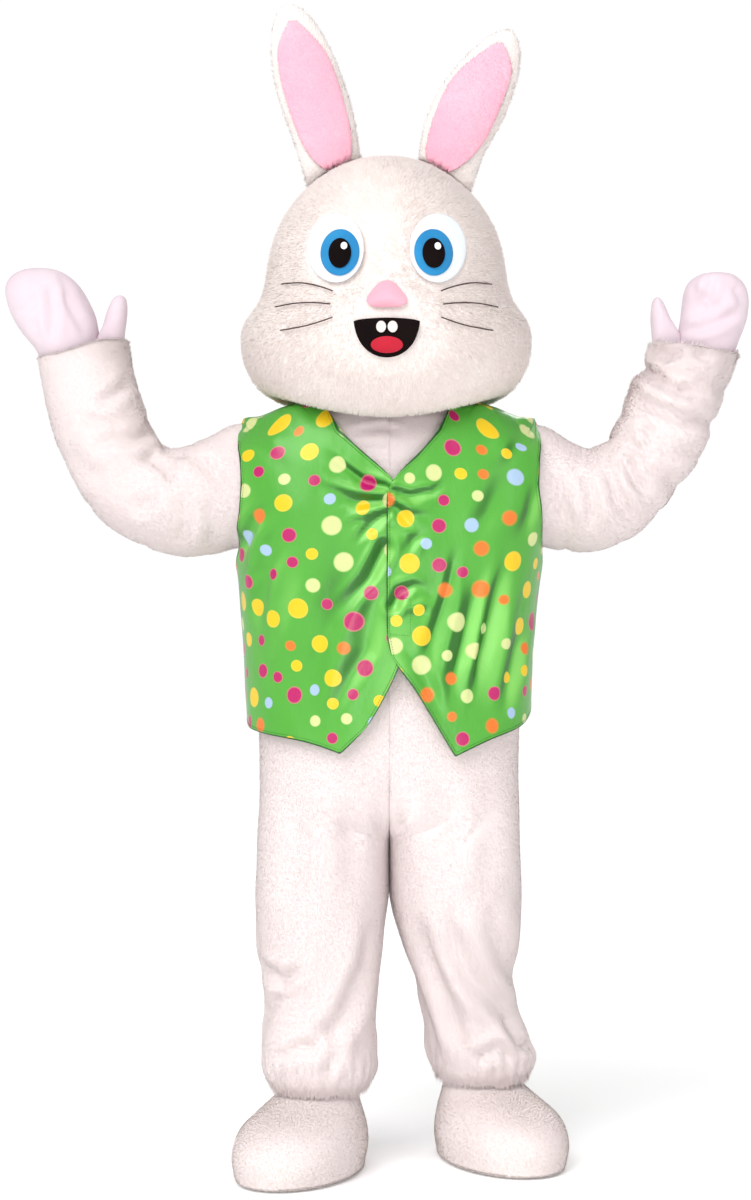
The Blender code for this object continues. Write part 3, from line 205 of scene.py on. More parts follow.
def coarse(node):
    """The node's own surface as a mesh of mostly four-sided faces, its rims marked to stay crisp."""
    mesh = nodes[node].data.copy()
    form = bmesh.new()
    form.from_mesh(mesh)
    bmesh.ops.remove_doubles(form, verts=form.verts, dist=2e-6)
    if node == "vest_back":
        turn_diagonals(form)
    bmesh.ops.join_triangles(form, faces=form.faces, angle_face_threshold=0.7, angle_shape_threshold=1.2)
    creases = form.edges.layers.float.get("crease_edge") or form.edges.layers.float.new("crease_edge")
    for edge in form.edges:
        if len(edge.link_faces) == 2 and edge.calc_face_angle(0) > math.radians(52):
            edge[creases] = 0.8
    form.to_mesh(mesh)
    form.free()
    for layer in list(mesh.uv_layers):
        mesh.uv_layers.remove(layer)
    mesh.materials.clear()
    return mesh


# ---------------------------------------------------------------- materials
def new_material(name, colour, roughness, sheen=0.0, sheen_tint=(1.0, 1.0, 1.0), specular=0.3):
    made = bpy.data.materials.new(name)
    made.use_nodes = True
    shader = made.node_tree.nodes["Principled BSDF"]
    shader.inputs["Base Color"].default_value = (*colour, 1.0)
    shader.inputs["Roughness"].default_value = roughness
    shader.inputs["Specular IOR Level"].default_value = specular
    shader.inputs["Sheen Weight"].default_value = sheen
    shader.inputs["Sheen Tint"].default_value = (*sheen_tint, 1.0)
    return made, made.node_tree, shader


def noise_node(tree, scale, detail=3.0, roughness=0.55, stretch=(1.0, 1.0, 1.0)):
    place = tree.nodes.new("ShaderNodeTexCoord")
    mapping = tree.nodes.new("ShaderNodeMapping")
    mapping.inputs["Scale"].default_value = stretch
    tree.links.new(place.outputs["Object"], mapping.inputs["Vector"])
    made = tree.nodes.new("ShaderNodeTexNoise")
    made.inputs["Scale"].default_value = scale
    made.inputs["Detail"].default_value = detail
    made.inputs["Roughness"].default_value = roughness
    tree.links.new(mapping.outputs["Vector"], made.inputs["Vector"])
    return made.outputs["Fac"]


def colour_ramp(tree, source, stops, smooth=True):
    ramp = tree.nodes.new("ShaderNodeValToRGB")
    ramp.color_ramp.interpolation = "EASE" if smooth else "CONSTANT"
    while len(ramp.color_ramp.elements) < len(stops):
        ramp.color_ramp.elements.new(0.5)
    for element, (place, colour) in zip(ramp.color_ramp.elements, stops):
        element.position, element.color = place, (*colour, 1.0)
    tree.links.new(source, ramp.inputs["Fac"])
    return ramp.outputs["Color"]


def bump(tree, shader, height, strength, distance, after=None):
    made = tree.nodes.new("ShaderNodeBump")
    made.inputs["Strength"].default_value = strength
    made.inputs["Distance"].default_value = distance
    tree.links.new(height, made.inputs["Height"])
    if after:
        tree.links.new(after, made.inputs["Normal"])
    tree.links.new(made.outputs["Normal"], shader.inputs["Normal"])
    return made.outputs["Normal"]


def cloth_material(name, colours, roughness, grain, depth, sheen, stretch=(1.0, 1.0, 1.0)):
    """A napped cloth: a colour that drifts a little and a fine raised nap."""
    made, tree, shader = new_material(name, colours[0], roughness, sheen)
    drift = noise_node(tree, 9.0, 4.0)
    colour = colour_ramp(tree, drift, [(0.32, colours[0]), (0.68, colours[1])])
    tree.links.new(colour, shader.inputs["Base Color"])
    bump(tree, shader, noise_node(tree, grain, 5.0, 0.65, stretch), 0.6, depth)
    return made


WHITE_PLUSH = [(0.84, 0.745, 0.710), (0.88, 0.795, 0.765)]
plush = cloth_material("plush_backing", WHITE_PLUSH, 0.95, 260.0, 0.004, 0.25, (1.0, 1.0, 0.45))
velvet = cloth_material("velvet_plush", [(0.750, 0.658, 0.650), (0.780, 0.692, 0.684)], 0.95, 330.0, 0.0022, 0.2)
fleece = cloth_material("mitten_fleece", [(0.665, 0.545, 0.600), (0.705, 0.595, 0.645)], 0.95, 420.0, 0.0016, 0.1)
ear_pink = cloth_material("ear_pink_plush", [(0.88, 0.43, 0.54), (0.93, 0.50, 0.60)], 0.95, 300.0, 0.003, 0.25)
sole_felt = cloth_material("sole_felt", [(0.50, 0.43, 0.41), (0.58, 0.51, 0.49)], 0.95, 300.0, 0.002, 0.2)
eye_white = cloth_material("eye_white_felt", [(0.76, 0.80, 0.84), (0.72, 0.76, 0.80)], 0.8, 500.0, 0.0006, 0.1)
eye_blue = cloth_material("eye_blue_felt", [(0.010, 0.190, 0.43), (0.016, 0.235, 0.50)], 0.75, 520.0, 0.0006, 0.1)
face_black = cloth_material("face_black_felt", [(0.004, 0.002, 0.002), (0.008, 0.004, 0.004)], 0.8, 520.0, 0.0005,
                            0.0)
face_black.node_tree.nodes["Principled BSDF"].inputs["Specular IOR Level"].default_value = 0.05
bristle = new_material("whisker_bristle", (0.050, 0.026, 0.020), 0.5)[0]
nose_pink = cloth_material("nose_pink_felt", [(0.80, 0.34, 0.43), (0.86, 0.41, 0.50)], 0.75, 480.0, 0.0006, 0.2)
tongue_red = cloth_material("tongue_red_felt", [(0.42, 0.004, 0.020), (0.49, 0.007, 0.028)], 0.75, 480.0, 0.0006,
                            0.1)
tooth_white = cloth_material("tooth_white_felt", [(0.66, 0.585, 0.55), (0.72, 0.65, 0.61)], 0.75, 480.0, 0.0006,
                             0.1)


# ---------------------------------------------------------------- how open each face is
def joined_tree(names):
    """These nodes' own surfaces in one tree, for rays."""
    points, faces = [], []
    for name in names:
        base = len(points)
        points += [tuple(v.co) for v in nodes[name].data.vertices]
        faces += [tuple(base + i for i in p.vertices) for p in nodes[name].data.polygons]
    return BVHTree.FromPolygons(points, faces)


solids = joined_tree(nodes)
FAR = 0.45                 # how far round it a face looks for cloth that covers it


def hemisphere(count):
    """Directions spread evenly over the half sphere round +Z."""
    turns = np.arange(count) * 2.399963
    height = 1 - (np.arange(count) + 0.5) / count * 0.86
    ring = np.sqrt(1 - height ** 2)
    return [Vector((r * math.cos(t), r * math.sin(t), h)) for r, t, h in zip(ring, turns, height)]


RAYS = hemisphere(14)
open_faces = {}


def openness(node):
    """For each of a node's faces, the share of the sky it sees; and a tree to look faces up."""
    if node in open_faces:
        return open_faces[node]
    mesh = nodes[node].data
    shares = []
    for face in mesh.polygons:
        turn = face.normal.to_track_quat("Z", "Y")
        start = face.center + face.normal * 0.004
        shares.append(sum(solids.ray_cast(start, turn @ ray, FAR)[0] is None for ray in RAYS) / len(RAYS))
    open_faces[node] = np.array(shares), joined_tree([node])
    return open_faces[node]


def open_at(node, places, facing):
    """How open the node's surface is at these places, for the side that faces this way."""
    shares, tree = openness(node)
    found = np.zeros(len(places))
    for k, place in enumerate(places):
        _, normal, face, _ = tree.find_nearest(Vector(place))
        if face is not None and normal.dot(Vector(facing[k])) > 0.3:
            found[k] = shares[face]
    return found


MOST_BLADES = 195000
FACE_NODES = ["nose", "mouth"] + [f"eye_white_{side}" for side in ("left", "right")]


trim = joined_tree(FACE_NODES)


def evened(mesh, values, normals, rounds):
    """The values averaged with their neighbours on the same side of the cloth, a few times over."""
    ends = np.empty(len(mesh.edges) * 2, np.int32)
    mesh.edges.foreach_get("vertices", ends)
    first, last = ends[0::2], ends[1::2]
    same = np.sum(normals[first] * normals[last], axis=1) > 0.75
    first, last = first[same], last[same]
    count = np.bincount(np.concatenate([first, last]), minlength=len(values))
    for _ in range(rounds):
        total = np.bincount(first, values[last], len(values)) + np.bincount(last, values[first], len(values))
        values = np.where(count > 0, 0.5 * values + 0.5 * total / np.maximum(count, 1), values)
    return values


def skin(node, name, material, levels=1, bend=None, sink=0.0):
    """A finer copy of a node's surface that replaces it. bend moves its points, given points and normals;
    sink lowers its open side, to leave room for the pile."""
    mesh = coarse(node)
    piece = placed(name, mesh)
    if levels:
        finer = piece.modifiers.new("finer", "SUBSURF")
        finer.levels = finer.render_levels = levels
        finished = bpy.data.meshes.new_from_object(piece.evaluated_get(bpy.context.evaluated_depsgraph_get()))
        piece.modifiers.clear()
        piece.data = finished
        bpy.data.meshes.remove(mesh)
        mesh = finished
    points, _, normals = arrays(mesh)
    seen = evened(mesh, open_at(node, points, normals), normals, 8 * 2 ** levels)
    store(mesh, "open", seen)
    points -= normals * (sink * smoothstep(0.03, 0.12, seen))[:, None]
    if bend:
        points = bend(points, normals)
    mesh.vertices.foreach_set("co", points.astype(np.float32).ravel())
    mesh.update()
    mesh.name = name
    mesh.materials.append(material)
    mesh.shade_smooth()
    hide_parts(node)
    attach(piece, "root")
    return piece


# ---------------------------------------------------------------- pile
FUR_TONES = [(0.900, 0.800, 0.762), (0.885, 0.782, 0.742), (0.860, 0.750, 0.710), (0.920, 0.830, 0.795)]
EAR_TONES = [(0.960, 0.900, 0.870), (0.950, 0.890, 0.860), (0.940, 0.875, 0.845), (0.970, 0.915, 0.890)]
SUIT_TONES = [(0.780, 0.688, 0.680), (0.774, 0.681, 0.673), (0.766, 0.672, 0.664), (0.787, 0.697, 0.689)]
FOOT_TONES = [(0.764, 0.700, 0.648), (0.758, 0.694, 0.642), (0.750, 0.685, 0.633), (0.771, 0.708, 0.656)]
PINK_TONES = [(0.93, 0.50, 0.61), (0.92, 0.47, 0.58), (0.94, 0.55, 0.65), (0.91, 0.44, 0.56)]


def hair_materials(name, tones):
    return [new_material(f"{name}_{k + 1}", tone, 0.9, 0.1, specular=0.1)[0] for k, tone in enumerate(tones)]


white_hair = hair_materials("white_hair", FUR_TONES)
suit_hair = hair_materials("suit_hair", SUIT_TONES)
ear_hair = hair_materials("ear_hair", EAR_TONES)
foot_hair = hair_materials("foot_hair", FOOT_TONES)
pink_hair = hair_materials("pink_hair", PINK_TONES)


def pile(name, piece, density, materials, length, comb, lean=0.62, width=0.0021, seed=1, shorten=None,
         ruffle=0.55, stray=1.0, begins=(0.04, 0.14), away=None):
    """Joined blades of pile over the open side of a piece. length and comb are given points and normals.
    begins is how open the surface is where the pile starts and where it is whole. away gives the way
    out of a hollow piece, whose inner side has no pile."""
    points, triangles, normals = arrays(piece.data)
    corners = points[triangles]
    cross = np.cross(corners[:, 1] - corners[:, 0], corners[:, 2] - corners[:, 0])
    area = np.linalg.norm(cross, axis=1) / 2
    seen = np.empty(len(points), np.float32)
    piece.data.attributes["open"].data.foreach_get("value", seen)
    wanted = area * smoothstep(*begins, seen[triangles].mean(axis=1))
    if away is not None:
        wanted *= np.sum(away(corners.mean(axis=1)) * cross, axis=1) > 0
    rng = np.random.default_rng(seed)
    count = min(MOST_BLADES, int(density * wanted.sum()))
    steps = (np.arange(count) + rng.random(count)) / count * wanted.sum()
    chosen = np.minimum(np.searchsorted(np.cumsum(wanted), steps), len(wanted) - 1)
    u, v = rng.random(count), rng.random(count)
    over = u + v > 1
    u[over], v[over] = 1 - u[over], 1 - v[over]
    w = 1 - u - v
    tri = triangles[chosen]
    root = points[tri[:, 0]] * w[:, None] + points[tri[:, 1]] * u[:, None] + points[tri[:, 2]] * v[:, None]
    up = unit(normals[tri[:, 0]] * w[:, None] + normals[tri[:, 1]] * u[:, None] + normals[tri[:, 2]] * v[:, None])
    flow = comb(root, up)
    flow += ruffle * np.stack([soft_noise(root, 0.045, seed + k) for k in (11, 12, 13)], axis=1)
    flow += ruffle * 0.9 * np.stack([soft_noise(root, 0.011, seed + k) for k in (21, 22, 23)], axis=1)
    flow -= up * np.sum(flow * up, axis=1, keepdims=True)
    flow = unit(flow)
    leans = lean + stray * (0.16 * soft_noise(root, 0.016, seed + 31) + 0.10 * rng.normal(size=count))
    leans = np.clip(leans, 0.15, 0.92)[:, None]
    way = unit(up * np.sqrt(1 - leans ** 2) + flow * leans)
    long = length(root, up) * (0.72 + 0.5 * rng.random(count)) \
        * (1 + min(0.28, 0.45 * stray) * soft_noise(root, 0.014, seed + 41))
    if shorten is not None:
        long = long * shorten(root)
    side = unit(np.cross(way, up) + rng.normal(size=(count, 3)) * 0.25)
    half = side * (width / 2 * (0.75 + 0.5 * rng.random(count)))[:, None]
    sunk = root - up * 0.0006
    tip = root + way * long[:, None]
    tip[:, 2] = np.maximum(tip[:, 2], GROUND + 0.0008)
    shaped = np.stack([sunk - half, sunk + half, tip], axis=1)
    turned = np.cross(shaped[:, 1] - shaped[:, 0], shaped[:, 2] - shaped[:, 0])
    back = np.sum(turned * up, axis=1) < 0
    shaped[back] = shaped[back][:, [1, 0, 2]]
    mesh = bpy.data.meshes.new(name)
    mesh.vertices.add(3 * count)
    mesh.loops.add(3 * count)
    mesh.polygons.add(count)
    mesh.vertices.foreach_set("co", shaped.astype(np.float32).ravel())
    mesh.loops.foreach_set("vertex_index", np.arange(3 * count, dtype=np.int32))
    mesh.polygons.foreach_set("loop_start", np.arange(0, 3 * count, 3, dtype=np.int32))
    tone = soft_noise(root, 0.05, seed + 51) * 0.55 + soft_noise(root, 0.013, seed + 52) * 0.45
    tone = tone + 0.35 * rng.normal(size=count)
    bins = np.digitize(tone, [-0.42, 0.0, 0.42])
    order = np.array([2, 1, 0, 3])[bins]
    mesh.polygons.foreach_set("material_index", order.astype(np.int32))
    mesh.update(calc_edges=True)
    mesh.shade_smooth()
    shown = unit(up + stray * (0.28 * way + 0.22 * rng.normal(size=(count, 3))))
    mesh.normals_split_custom_set_from_vertices(np.repeat(shown, 3, axis=0).astype(np.float32))
    for one in materials:
        mesh.materials.append(one)
    hair = placed(name, mesh)
    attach(hair, "root")


HEAD_MIDDLE = np.array([0.0, 0.0, 0.22])
LEGS_PART = GROUND + 0.66        # below this height the two legs are apart


def out_of_suit(side):
    def away(points):
        _, _, spots = from_line(points, LEG_LINES[side])
        return np.where(points[:, 2:] < LEGS_PART, (points - spots) * (1.0, 1.0, 0.0), outward(points))
    return away


def out_of_arm(side):
    return lambda points: points - from_line(points, ARM_LINES[side])[2]


def out_of_head(points):
    return points - HEAD_MIDDLE


SIDES = (("left", 1), ("right", -1))
NOSE = np.array([-0.005, -0.30, 0.175])


def hang(root, up):
    return np.tile([0.0, 0.0, -1.0], (len(root), 1))


def along_arm(root, up):
    """Towards the hand: out along the upper arm, then up the forearm, and always drooping a little."""
    rise = smoothstep(0.40, 0.50, np.abs(root[:, 0]))
    return np.stack([np.sign(root[:, 0]) * (1 - 0.6 * rise), np.zeros(len(root)), -0.45 + 1.0 * rise], axis=1)


def from_nose(root, up):
    away = unit(root - NOSE)
    away[:, 2] -= 0.55
    return away


def to_tip(root, up):
    return np.stack([0.25 * np.sign(root[:, 0]), np.zeros(len(root)), np.ones(len(root))], axis=1)


def over_foot(root, up):
    return np.tile([0.0, -0.6, -0.8], (len(root), 1))


def clear_of_face(root):
    """Short round the felt pieces and over the muzzle."""
    near = np.array([trim.find_nearest(Vector(p), 0.05)[3] or 0.05 for p in root])
    muzzle = np.linalg.norm((root - [-0.005, -0.25, 0.115]) / [0.105, 0.2, 0.075], axis=1)
    return (0.15 + 0.85 * smoothstep(0.002, 0.020, near)) * (0.55 + 0.45 * smoothstep(0.8, 1.15, muzzle))


def even(metres):
    return lambda root, up: np.full(len(root), metres)


def arm_length(side):
    """Short velvet along the arm, longer at the cuff; the wearer's left cuff is shaggier."""
    more, cuff = (0.0035 if side == "left" else 0.0), nodes_top(f"suit_sleeve_{side}")
    return lambda root, up: 0.0038 + more * smoothstep(-0.03, 0.06, root[:, 2]) \
        + 0.0025 * smoothstep(cuff - 0.040, cuff - 0.010, root[:, 2])


def leg_length(root, up):
    """Short velvet, longer along the hem, where it hangs over the shoe cover."""
    return 0.0034 + 0.0090 * smoothstep(HEM_TOP, HEM_BOTTOM, root[:, 2])


# ---------------------------------------------------------------- folds of the jumpsuit
HEM_TOP, HEM_BOTTOM = GROUND + 0.168, GROUND + 0.146
LEG_LINES = {"left": [(0.165, 0.095, GROUND + 0.13), (0.150, 0.060, GROUND + 0.30), (0.122, 0.020, GROUND + 0.45),
                      (0.118, 0.005, GROUND + 0.70)],
             "right": [(-0.125, 0.0, GROUND + 0.13), (-0.125, 0.0, GROUND + 0.30), (-0.122, 0.002, GROUND + 0.45),
                       (-0.118, 0.005, GROUND + 0.70)]}
ARM_LINES = {"left": [(0.240, 0.0, -0.135), (0.350, 0.0, -0.160), (0.415, 0.0, -0.143), (0.460, 0.0, -0.083),
                      (0.508, 0.0, 0.000), (0.550, 0.0, 0.112)],
             "right": [(-0.240, 0.0, -0.135), (-0.350, 0.0, -0.162), (-0.430, 0.0, -0.152), (-0.485, 0.0, -0.100),
                       (-0.520, 0.0, -0.020), (-0.553, 0.0, 0.102)]}
LEG_CREASES = {
    "right": [([(250, 958), (264, 968), (283, 980), (304, 964)], 6.0, 0.0075),
              ([(378, 905), (368, 965), (342, 1021), (294, 1062)], 9.0, 0.0090),
              ([(262, 1020), (276, 1000), (284, 992)], 5.0, 0.0045),
              ([(324, 1080), (337, 1048), (332, 1022)], 6.0, 0.0060),
              ([(268, 1062), (300, 1046), (322, 1052)], 6.0, 0.0050),
              ([(300, 770), (296, 850), (300, 930)], 13.0, 0.0040),
              ([(352, 760), (350, 840), (356, 900)], 10.0, 0.0035)],
    "left": [([(412, 900), (431, 965), (453, 1016), (466, 1068)], 8.0, 0.0085),
             ([(405, 955), (426, 1015), (440, 1068)], 6.0, 0.0055),
             ([(436, 905), (470, 977), (522, 1030)], 9.0, 0.0080),
             ([(486, 900), (500, 950), (520, 990)], 9.0, 0.0050),
             ([(504, 1012), (521, 1044), (538, 1042)], 6.0, 0.0080),
             ([(470, 1062), (498, 1048), (520, 1062)], 6.0, 0.0060),
             ([(430, 770), (440, 850), (444, 900)], 13.0, 0.0040),
             ([(490, 760), (492, 840), (486, 900)], 12.0, 0.0035)],
}
ARM_CREASES = {
    "right": [([(92, 404), (112, 396), (134, 378)], 5.5, 0.0065),
              ([(80, 416), (100, 424), (126, 428)], 6.0, 0.0060),
              ([(94, 446), (117, 437), (140, 438), (156, 428)], 6.0, 0.0075),
              ([(134, 462), (151, 457), (170, 470), (175, 492)], 6.0, 0.0095),
              ([(158, 446), (174, 458), (190, 452)], 5.0, 0.0070),
              ([(192, 450), (213, 472), (236, 496)], 7.0, 0.0070),
              ([(128, 500), (146, 508), (158, 492)], 6.5, 0.0050),
              ([(178, 490), (188, 520), (182, 548)], 8.0, 0.0060),
              ([(204, 500), (212, 526), (208, 550)], 7.0, 0.0040),
              ([(60, 440), (84, 470), (112, 480)], 9.0, 0.0045)],
    "left": [([(630, 366), (657, 378), (674, 390), (704, 392)], 5.5, 0.0085),
             ([(626, 400), (663, 410), (688, 421), (722, 422)], 6.0, 0.0120),
             ([(642, 420), (652, 440), (672, 447)], 5.0, 0.0090),
             ([(616, 442), (640, 448), (664, 452), (706, 452)], 5.0, 0.0080),
             ([(622, 452), (633, 478), (650, 494)], 5.5, 0.0085),
             ([(606, 466), (616, 497), (634, 524)], 6.5, 0.0080),
             ([(582, 468), (592, 493), (590, 530)], 6.5, 0.0075),
             ([(548, 456), (557, 493), (568, 532)], 8.0, 0.0070),
             ([(660, 468), (676, 490), (684, 506)], 8.0, 0.0045),
             ([(648, 350), (668, 356), (690, 350), (716, 362)], 5.0, 0.0075)],
}
NECK_CREASES = [([(346, 438), (362, 431), (384, 428), (408, 434)], 3.5, 0.0055),
                ([(352, 452), (372, 447), (392, 446)], 4.0, 0.0030)]
CUFF_SLANT = 0.017           # how much higher the wearer's right cuff is on its inner side
HEM_GATHERS = 23
THIGHS_MEET = 0.0045         # how far each inner thigh fills out towards the other
UNDER_SATIN = 0.0045         # how far the jumpsuit gives way under the waistcoat's folds
ARM_RINGS = {"left": [(0.20, 0.010), (0.31, 0.007), (0.42, 0.009), (0.52, 0.008), (0.63, 0.010), (0.74, 0.009),
                      (0.86, 0.010)],
             "right": [(0.22, 0.006), (0.38, 0.008), (0.52, 0.006), (0.66, 0.005), (0.82, 0.004)]}


def leg_bend(side):
    def bend(points, normals):
        _, _, spots = from_line(points, LEG_LINES[side])
        way = unit((points - spots) * (1.0, 1.0, 0.25))
        moved = 1.4 * pressed(points, way, LEG_CREASES[side])
        moved += 0.0022 * soft_noise(points, (0.075, 0.075, 0.13), 61)
        behind = smoothstep(-0.2, 0.4, way[:, 1])
        low = smoothstep(GROUND + 0.60, GROUND + 0.30, points[:, 2])
        slanted = points[:, 2] + 0.6 * points[:, 0] + 0.05 * soft_noise(points, (0.12, 0.12, 0.12), 62)
        moved += behind * (0.0015 + 0.0040 * low) * np.sin(slanted * 2 * math.pi / 0.105)
        fade = (smoothstep(GROUND + 0.80, GROUND + 0.60, points[:, 2])
                * smoothstep(0.004, 0.040, np.abs(points[:, 0])))
        made = points + way * (moved * fade)[:, None]
        around = outward(points)
        covered = smoothstep(GROUND + 0.82, GROUND + 0.88, points[:, 2]) * smoothstep(-0.06, -0.12, points[:, 2]) \
            * smoothstep(0.215, 0.190, np.abs(points[:, 0]))
        neck = pressed(points, around, NECK_CREASES) * smoothstep(-0.16, -0.10, points[:, 2])
        made += around * (neck - UNDER_SATIN * covered)[:, None]
        height = points[:, 2] - GROUND
        turn = np.arctan2(way[:, 1], way[:, 0])
        gather = np.sin(HEM_GATHERS * turn + 2.6 * soft_noise(points, (0.07, 0.07, 0.07), 63))
        made += way * (0.0042 * gather * np.exp(-((height - 0.175) / 0.026) ** 2))[:, None]
        made[:, 2] += 0.0045 * soft_noise(points, (0.030, 0.030, 10.0), 70) * smoothstep(0.185, 0.160, height)
        across = np.abs(made[:, 0])
        beside = smoothstep(0.035, 0.004, across) * smoothstep(0.42, 0.50, height) * smoothstep(0.74, 0.66, height)
        beside = np.maximum(THIGHS_MEET * beside, 0.0010 * smoothstep(0.006, 0.001, across))
        made[:, 0] = np.sign(points[:, 0]) * np.maximum(across - beside, 0.00008)
        return made
    return bend


def arm_bend(side):
    def bend(points, normals):
        _, along, spots = from_line(points, ARM_LINES[side])
        way = unit(points - spots)
        front = smoothstep(-0.2, 0.5, -way[:, 1])
        moved = pressed(points, way, ARM_CREASES[side])
        wander = along + 0.030 * soft_noise(points, (0.06, 0.06, 0.06), 65)
        for place, depth in ARM_RINGS[side]:
            uneven = 0.65 + 0.5 * soft_noise(points, (0.08, 0.08, 0.08), 66 + int(place * 50))
            ring = np.exp(-((wander - place) / 0.020) ** 2) - 0.45 * np.exp(-((wander - place) / 0.050) ** 2)
            moved -= depth * uneven * ring * (1 - 0.75 * front)
        moved += 0.0016 * soft_noise(points, (0.045, 0.045, 0.045), 64)
        cuff = nodes_top(f"suit_sleeve_{side}")
        if side == "left":
            shag = smoothstep(-0.06, 0.05, points[:, 2])
            moved += shag * (0.0038 * soft_noise(points, (0.026, 0.026, 0.020), 67)
                             + 0.0020 * soft_noise(points, (0.012,) * 3, 68))
        fade = smoothstep(0.0, 0.14, along)
        made = points + way * (moved * fade)[:, None]
        edge = smoothstep(cuff - 0.060, cuff, points[:, 2])
        if side == "left":
            made[:, 2] += edge * 0.0050 * soft_noise(points, (0.022, 0.022, 10.0), 69)
        else:
            made[:, 2] += edge * CUFF_SLANT * smoothstep(-0.590, -0.500, points[:, 0])
        return made
    return bend


# ---------------------------------------------------------------- ear linings and mittens
EAR_PANEL_DROP, EAR_PANEL_LOWER = 0.018, 0.013       # how far the lining's two ends come down
EAR_TIP_RISE = 0.004, 0.011


def ear_bend(points, normals):
    """Draws the ear's tip up a little."""
    made = points.copy()
    low, high = points[:, 2].min(), points[:, 2].max()
    rise = EAR_TIP_RISE[0 if points[:, 0].mean() > 0 else 1]
    made[:, 2] += rise * smoothstep(0.60, 1.0, (points[:, 2] - low) / (high - low))
    return made


def ear_panel_bend(side):
    """Runs the lining's lower end down to the crown's fur, on the ear's own front."""
    ear = joined_tree([f"ear_{side}"])

    def front_of(x, z):
        for step in range(8):
            spot, _, _, _ = ear.ray_cast(Vector((x * (1 - 0.01 * step), -1.0, z + 0.003 * step)),
                                         Vector((0, 1, 0)))
            if spot is not None:
                return spot.y
        return None

    def bend(points, normals):
        low, high = points[:, 2].min(), points[:, 2].max()
        axis = np.polyfit(points[:, 2], points[:, 0], 2)
        made = points.copy()
        share = (points[:, 2] - low) / (high - low)
        made[:, 2] -= EAR_PANEL_DROP * (1 - smoothstep(0.0, 0.45, share)) \
            + EAR_PANEL_LOWER * smoothstep(0.5, 1.0, share)
        made[:, 0] += np.polyval(axis, made[:, 2]) - np.polyval(axis, points[:, 2])
        for old, new in zip(points, made):
            before, after = front_of(old[0], old[2]), front_of(new[0], new[2])
            if before is not None and after is not None:
                new[1] += after - before
        return made
    return bend


MITTEN_CREASES = {
    "right": [([(50, 282), (53, 312), (50, 344)], 5.0, 0.0085), ([(63, 290), (75, 313), (87, 338)], 4.5, 0.0055),
              ([(40, 294), (28, 306), (16, 316)], 4.5, 0.0050), ([(34, 316), (36, 330), (40, 344)], 4.5, 0.0045),
              ([(60, 270), (66, 284), (70, 300)], 4.5, 0.0040)],
    "left": [([(714, 274), (709, 290), (704, 304)], 4.5, 0.0095),
             ([(746, 306), (722, 321), (703, 328), (680, 332)], 5.0, 0.0100),
             ([(686, 304), (706, 309), (726, 304)], 10.0, 0.0090),
             ([(733, 284), (741, 298), (744, 312)], 4.5, 0.0050),
             ([(692, 286), (700, 296), (702, 312)], 4.5, 0.0045)],
}
WEB_HEIGHT, WEB_REACH = 0.048, (0.012, 0.005)     # of the web between thumb and palm, above the cuff


def mitten_bend(part, side, sign):
    middle = np.concatenate([arrays(nodes[f"mitten_{half}_{side}"].data)[0] for half in ("palm", "back")])
    if part == "mitten_thumb":
        middle = arrays(nodes[f"mitten_thumb_{side}"].data)[0]
    axis_x, axis_y = np.polyfit(middle[:, 2], middle[:, 0], 2), np.polyfit(middle[:, 2], middle[:, 1], 2)
    cuff = nodes_top(f"suit_sleeve_{side}")

    def bend(points, normals):
        x, y = np.polyval(axis_x, points[:, 2]), np.polyval(axis_y, points[:, 2])
        way = unit(np.stack([points[:, 0] - x, points[:, 1] - y, np.zeros(len(points))], axis=1))
        moved = 0.0012 * soft_noise(points, (0.03, 0.03, 0.04), 81)
        if part != "mitten_thumb":
            moved += 0.55 * pressed(points, way, MITTEN_CREASES[side])
            moved += smoothstep(0.0, 0.6, way[:, 1]) * 0.0030 * soft_noise(points, (0.035, 0.035, 0.07), 82)
        made = points + way * moved[:, None]
        low = smoothstep(cuff + WEB_HEIGHT, cuff, points[:, 2])
        towards, reach = (1.0, WEB_REACH[0]) if part == "mitten_thumb" else (-1.0, WEB_REACH[1])
        facing = smoothstep(0.0, 0.8, way[:, 0] * sign * towards)
        made[:, 0] += sign * towards * reach * low * facing
        return made
    return bend


def nodes_top(node):
    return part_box(node)[1][2]


HEM_ROLL = 0.030           # how high up the shoe cover's lower edge is drawn down
SOLE_TUCK = 0.0065         # how far the sole is drawn in under it


def upper_bend(points, normals):
    """Draws the shoe cover's lower edge down over the sole, and softens its top and sides."""
    made = points.copy()
    low = smoothstep(HEM_ROLL, 0.010, points[:, 2] - GROUND)
    made[:, 2] -= 0.0075 * low
    made += normals * (0.0022 * soft_noise(points, (0.06, 0.06, 0.05), 91) * (1 - low))[:, None] \
        * smoothstep(0.02, 0.10, -points[:, 1] + 0.2)[:, None]
    made[:, 2] = np.maximum(made[:, 2], GROUND + 0.0012)
    return made


def sole_bend(points, normals):
    """The sole's rim, tucked under the shoe cover."""
    middle = (points.max(axis=0) + points.min(axis=0)) / 2
    out = unit((points - middle) * (1.0, 1.0, 0.0))
    return points - out * SOLE_TUCK


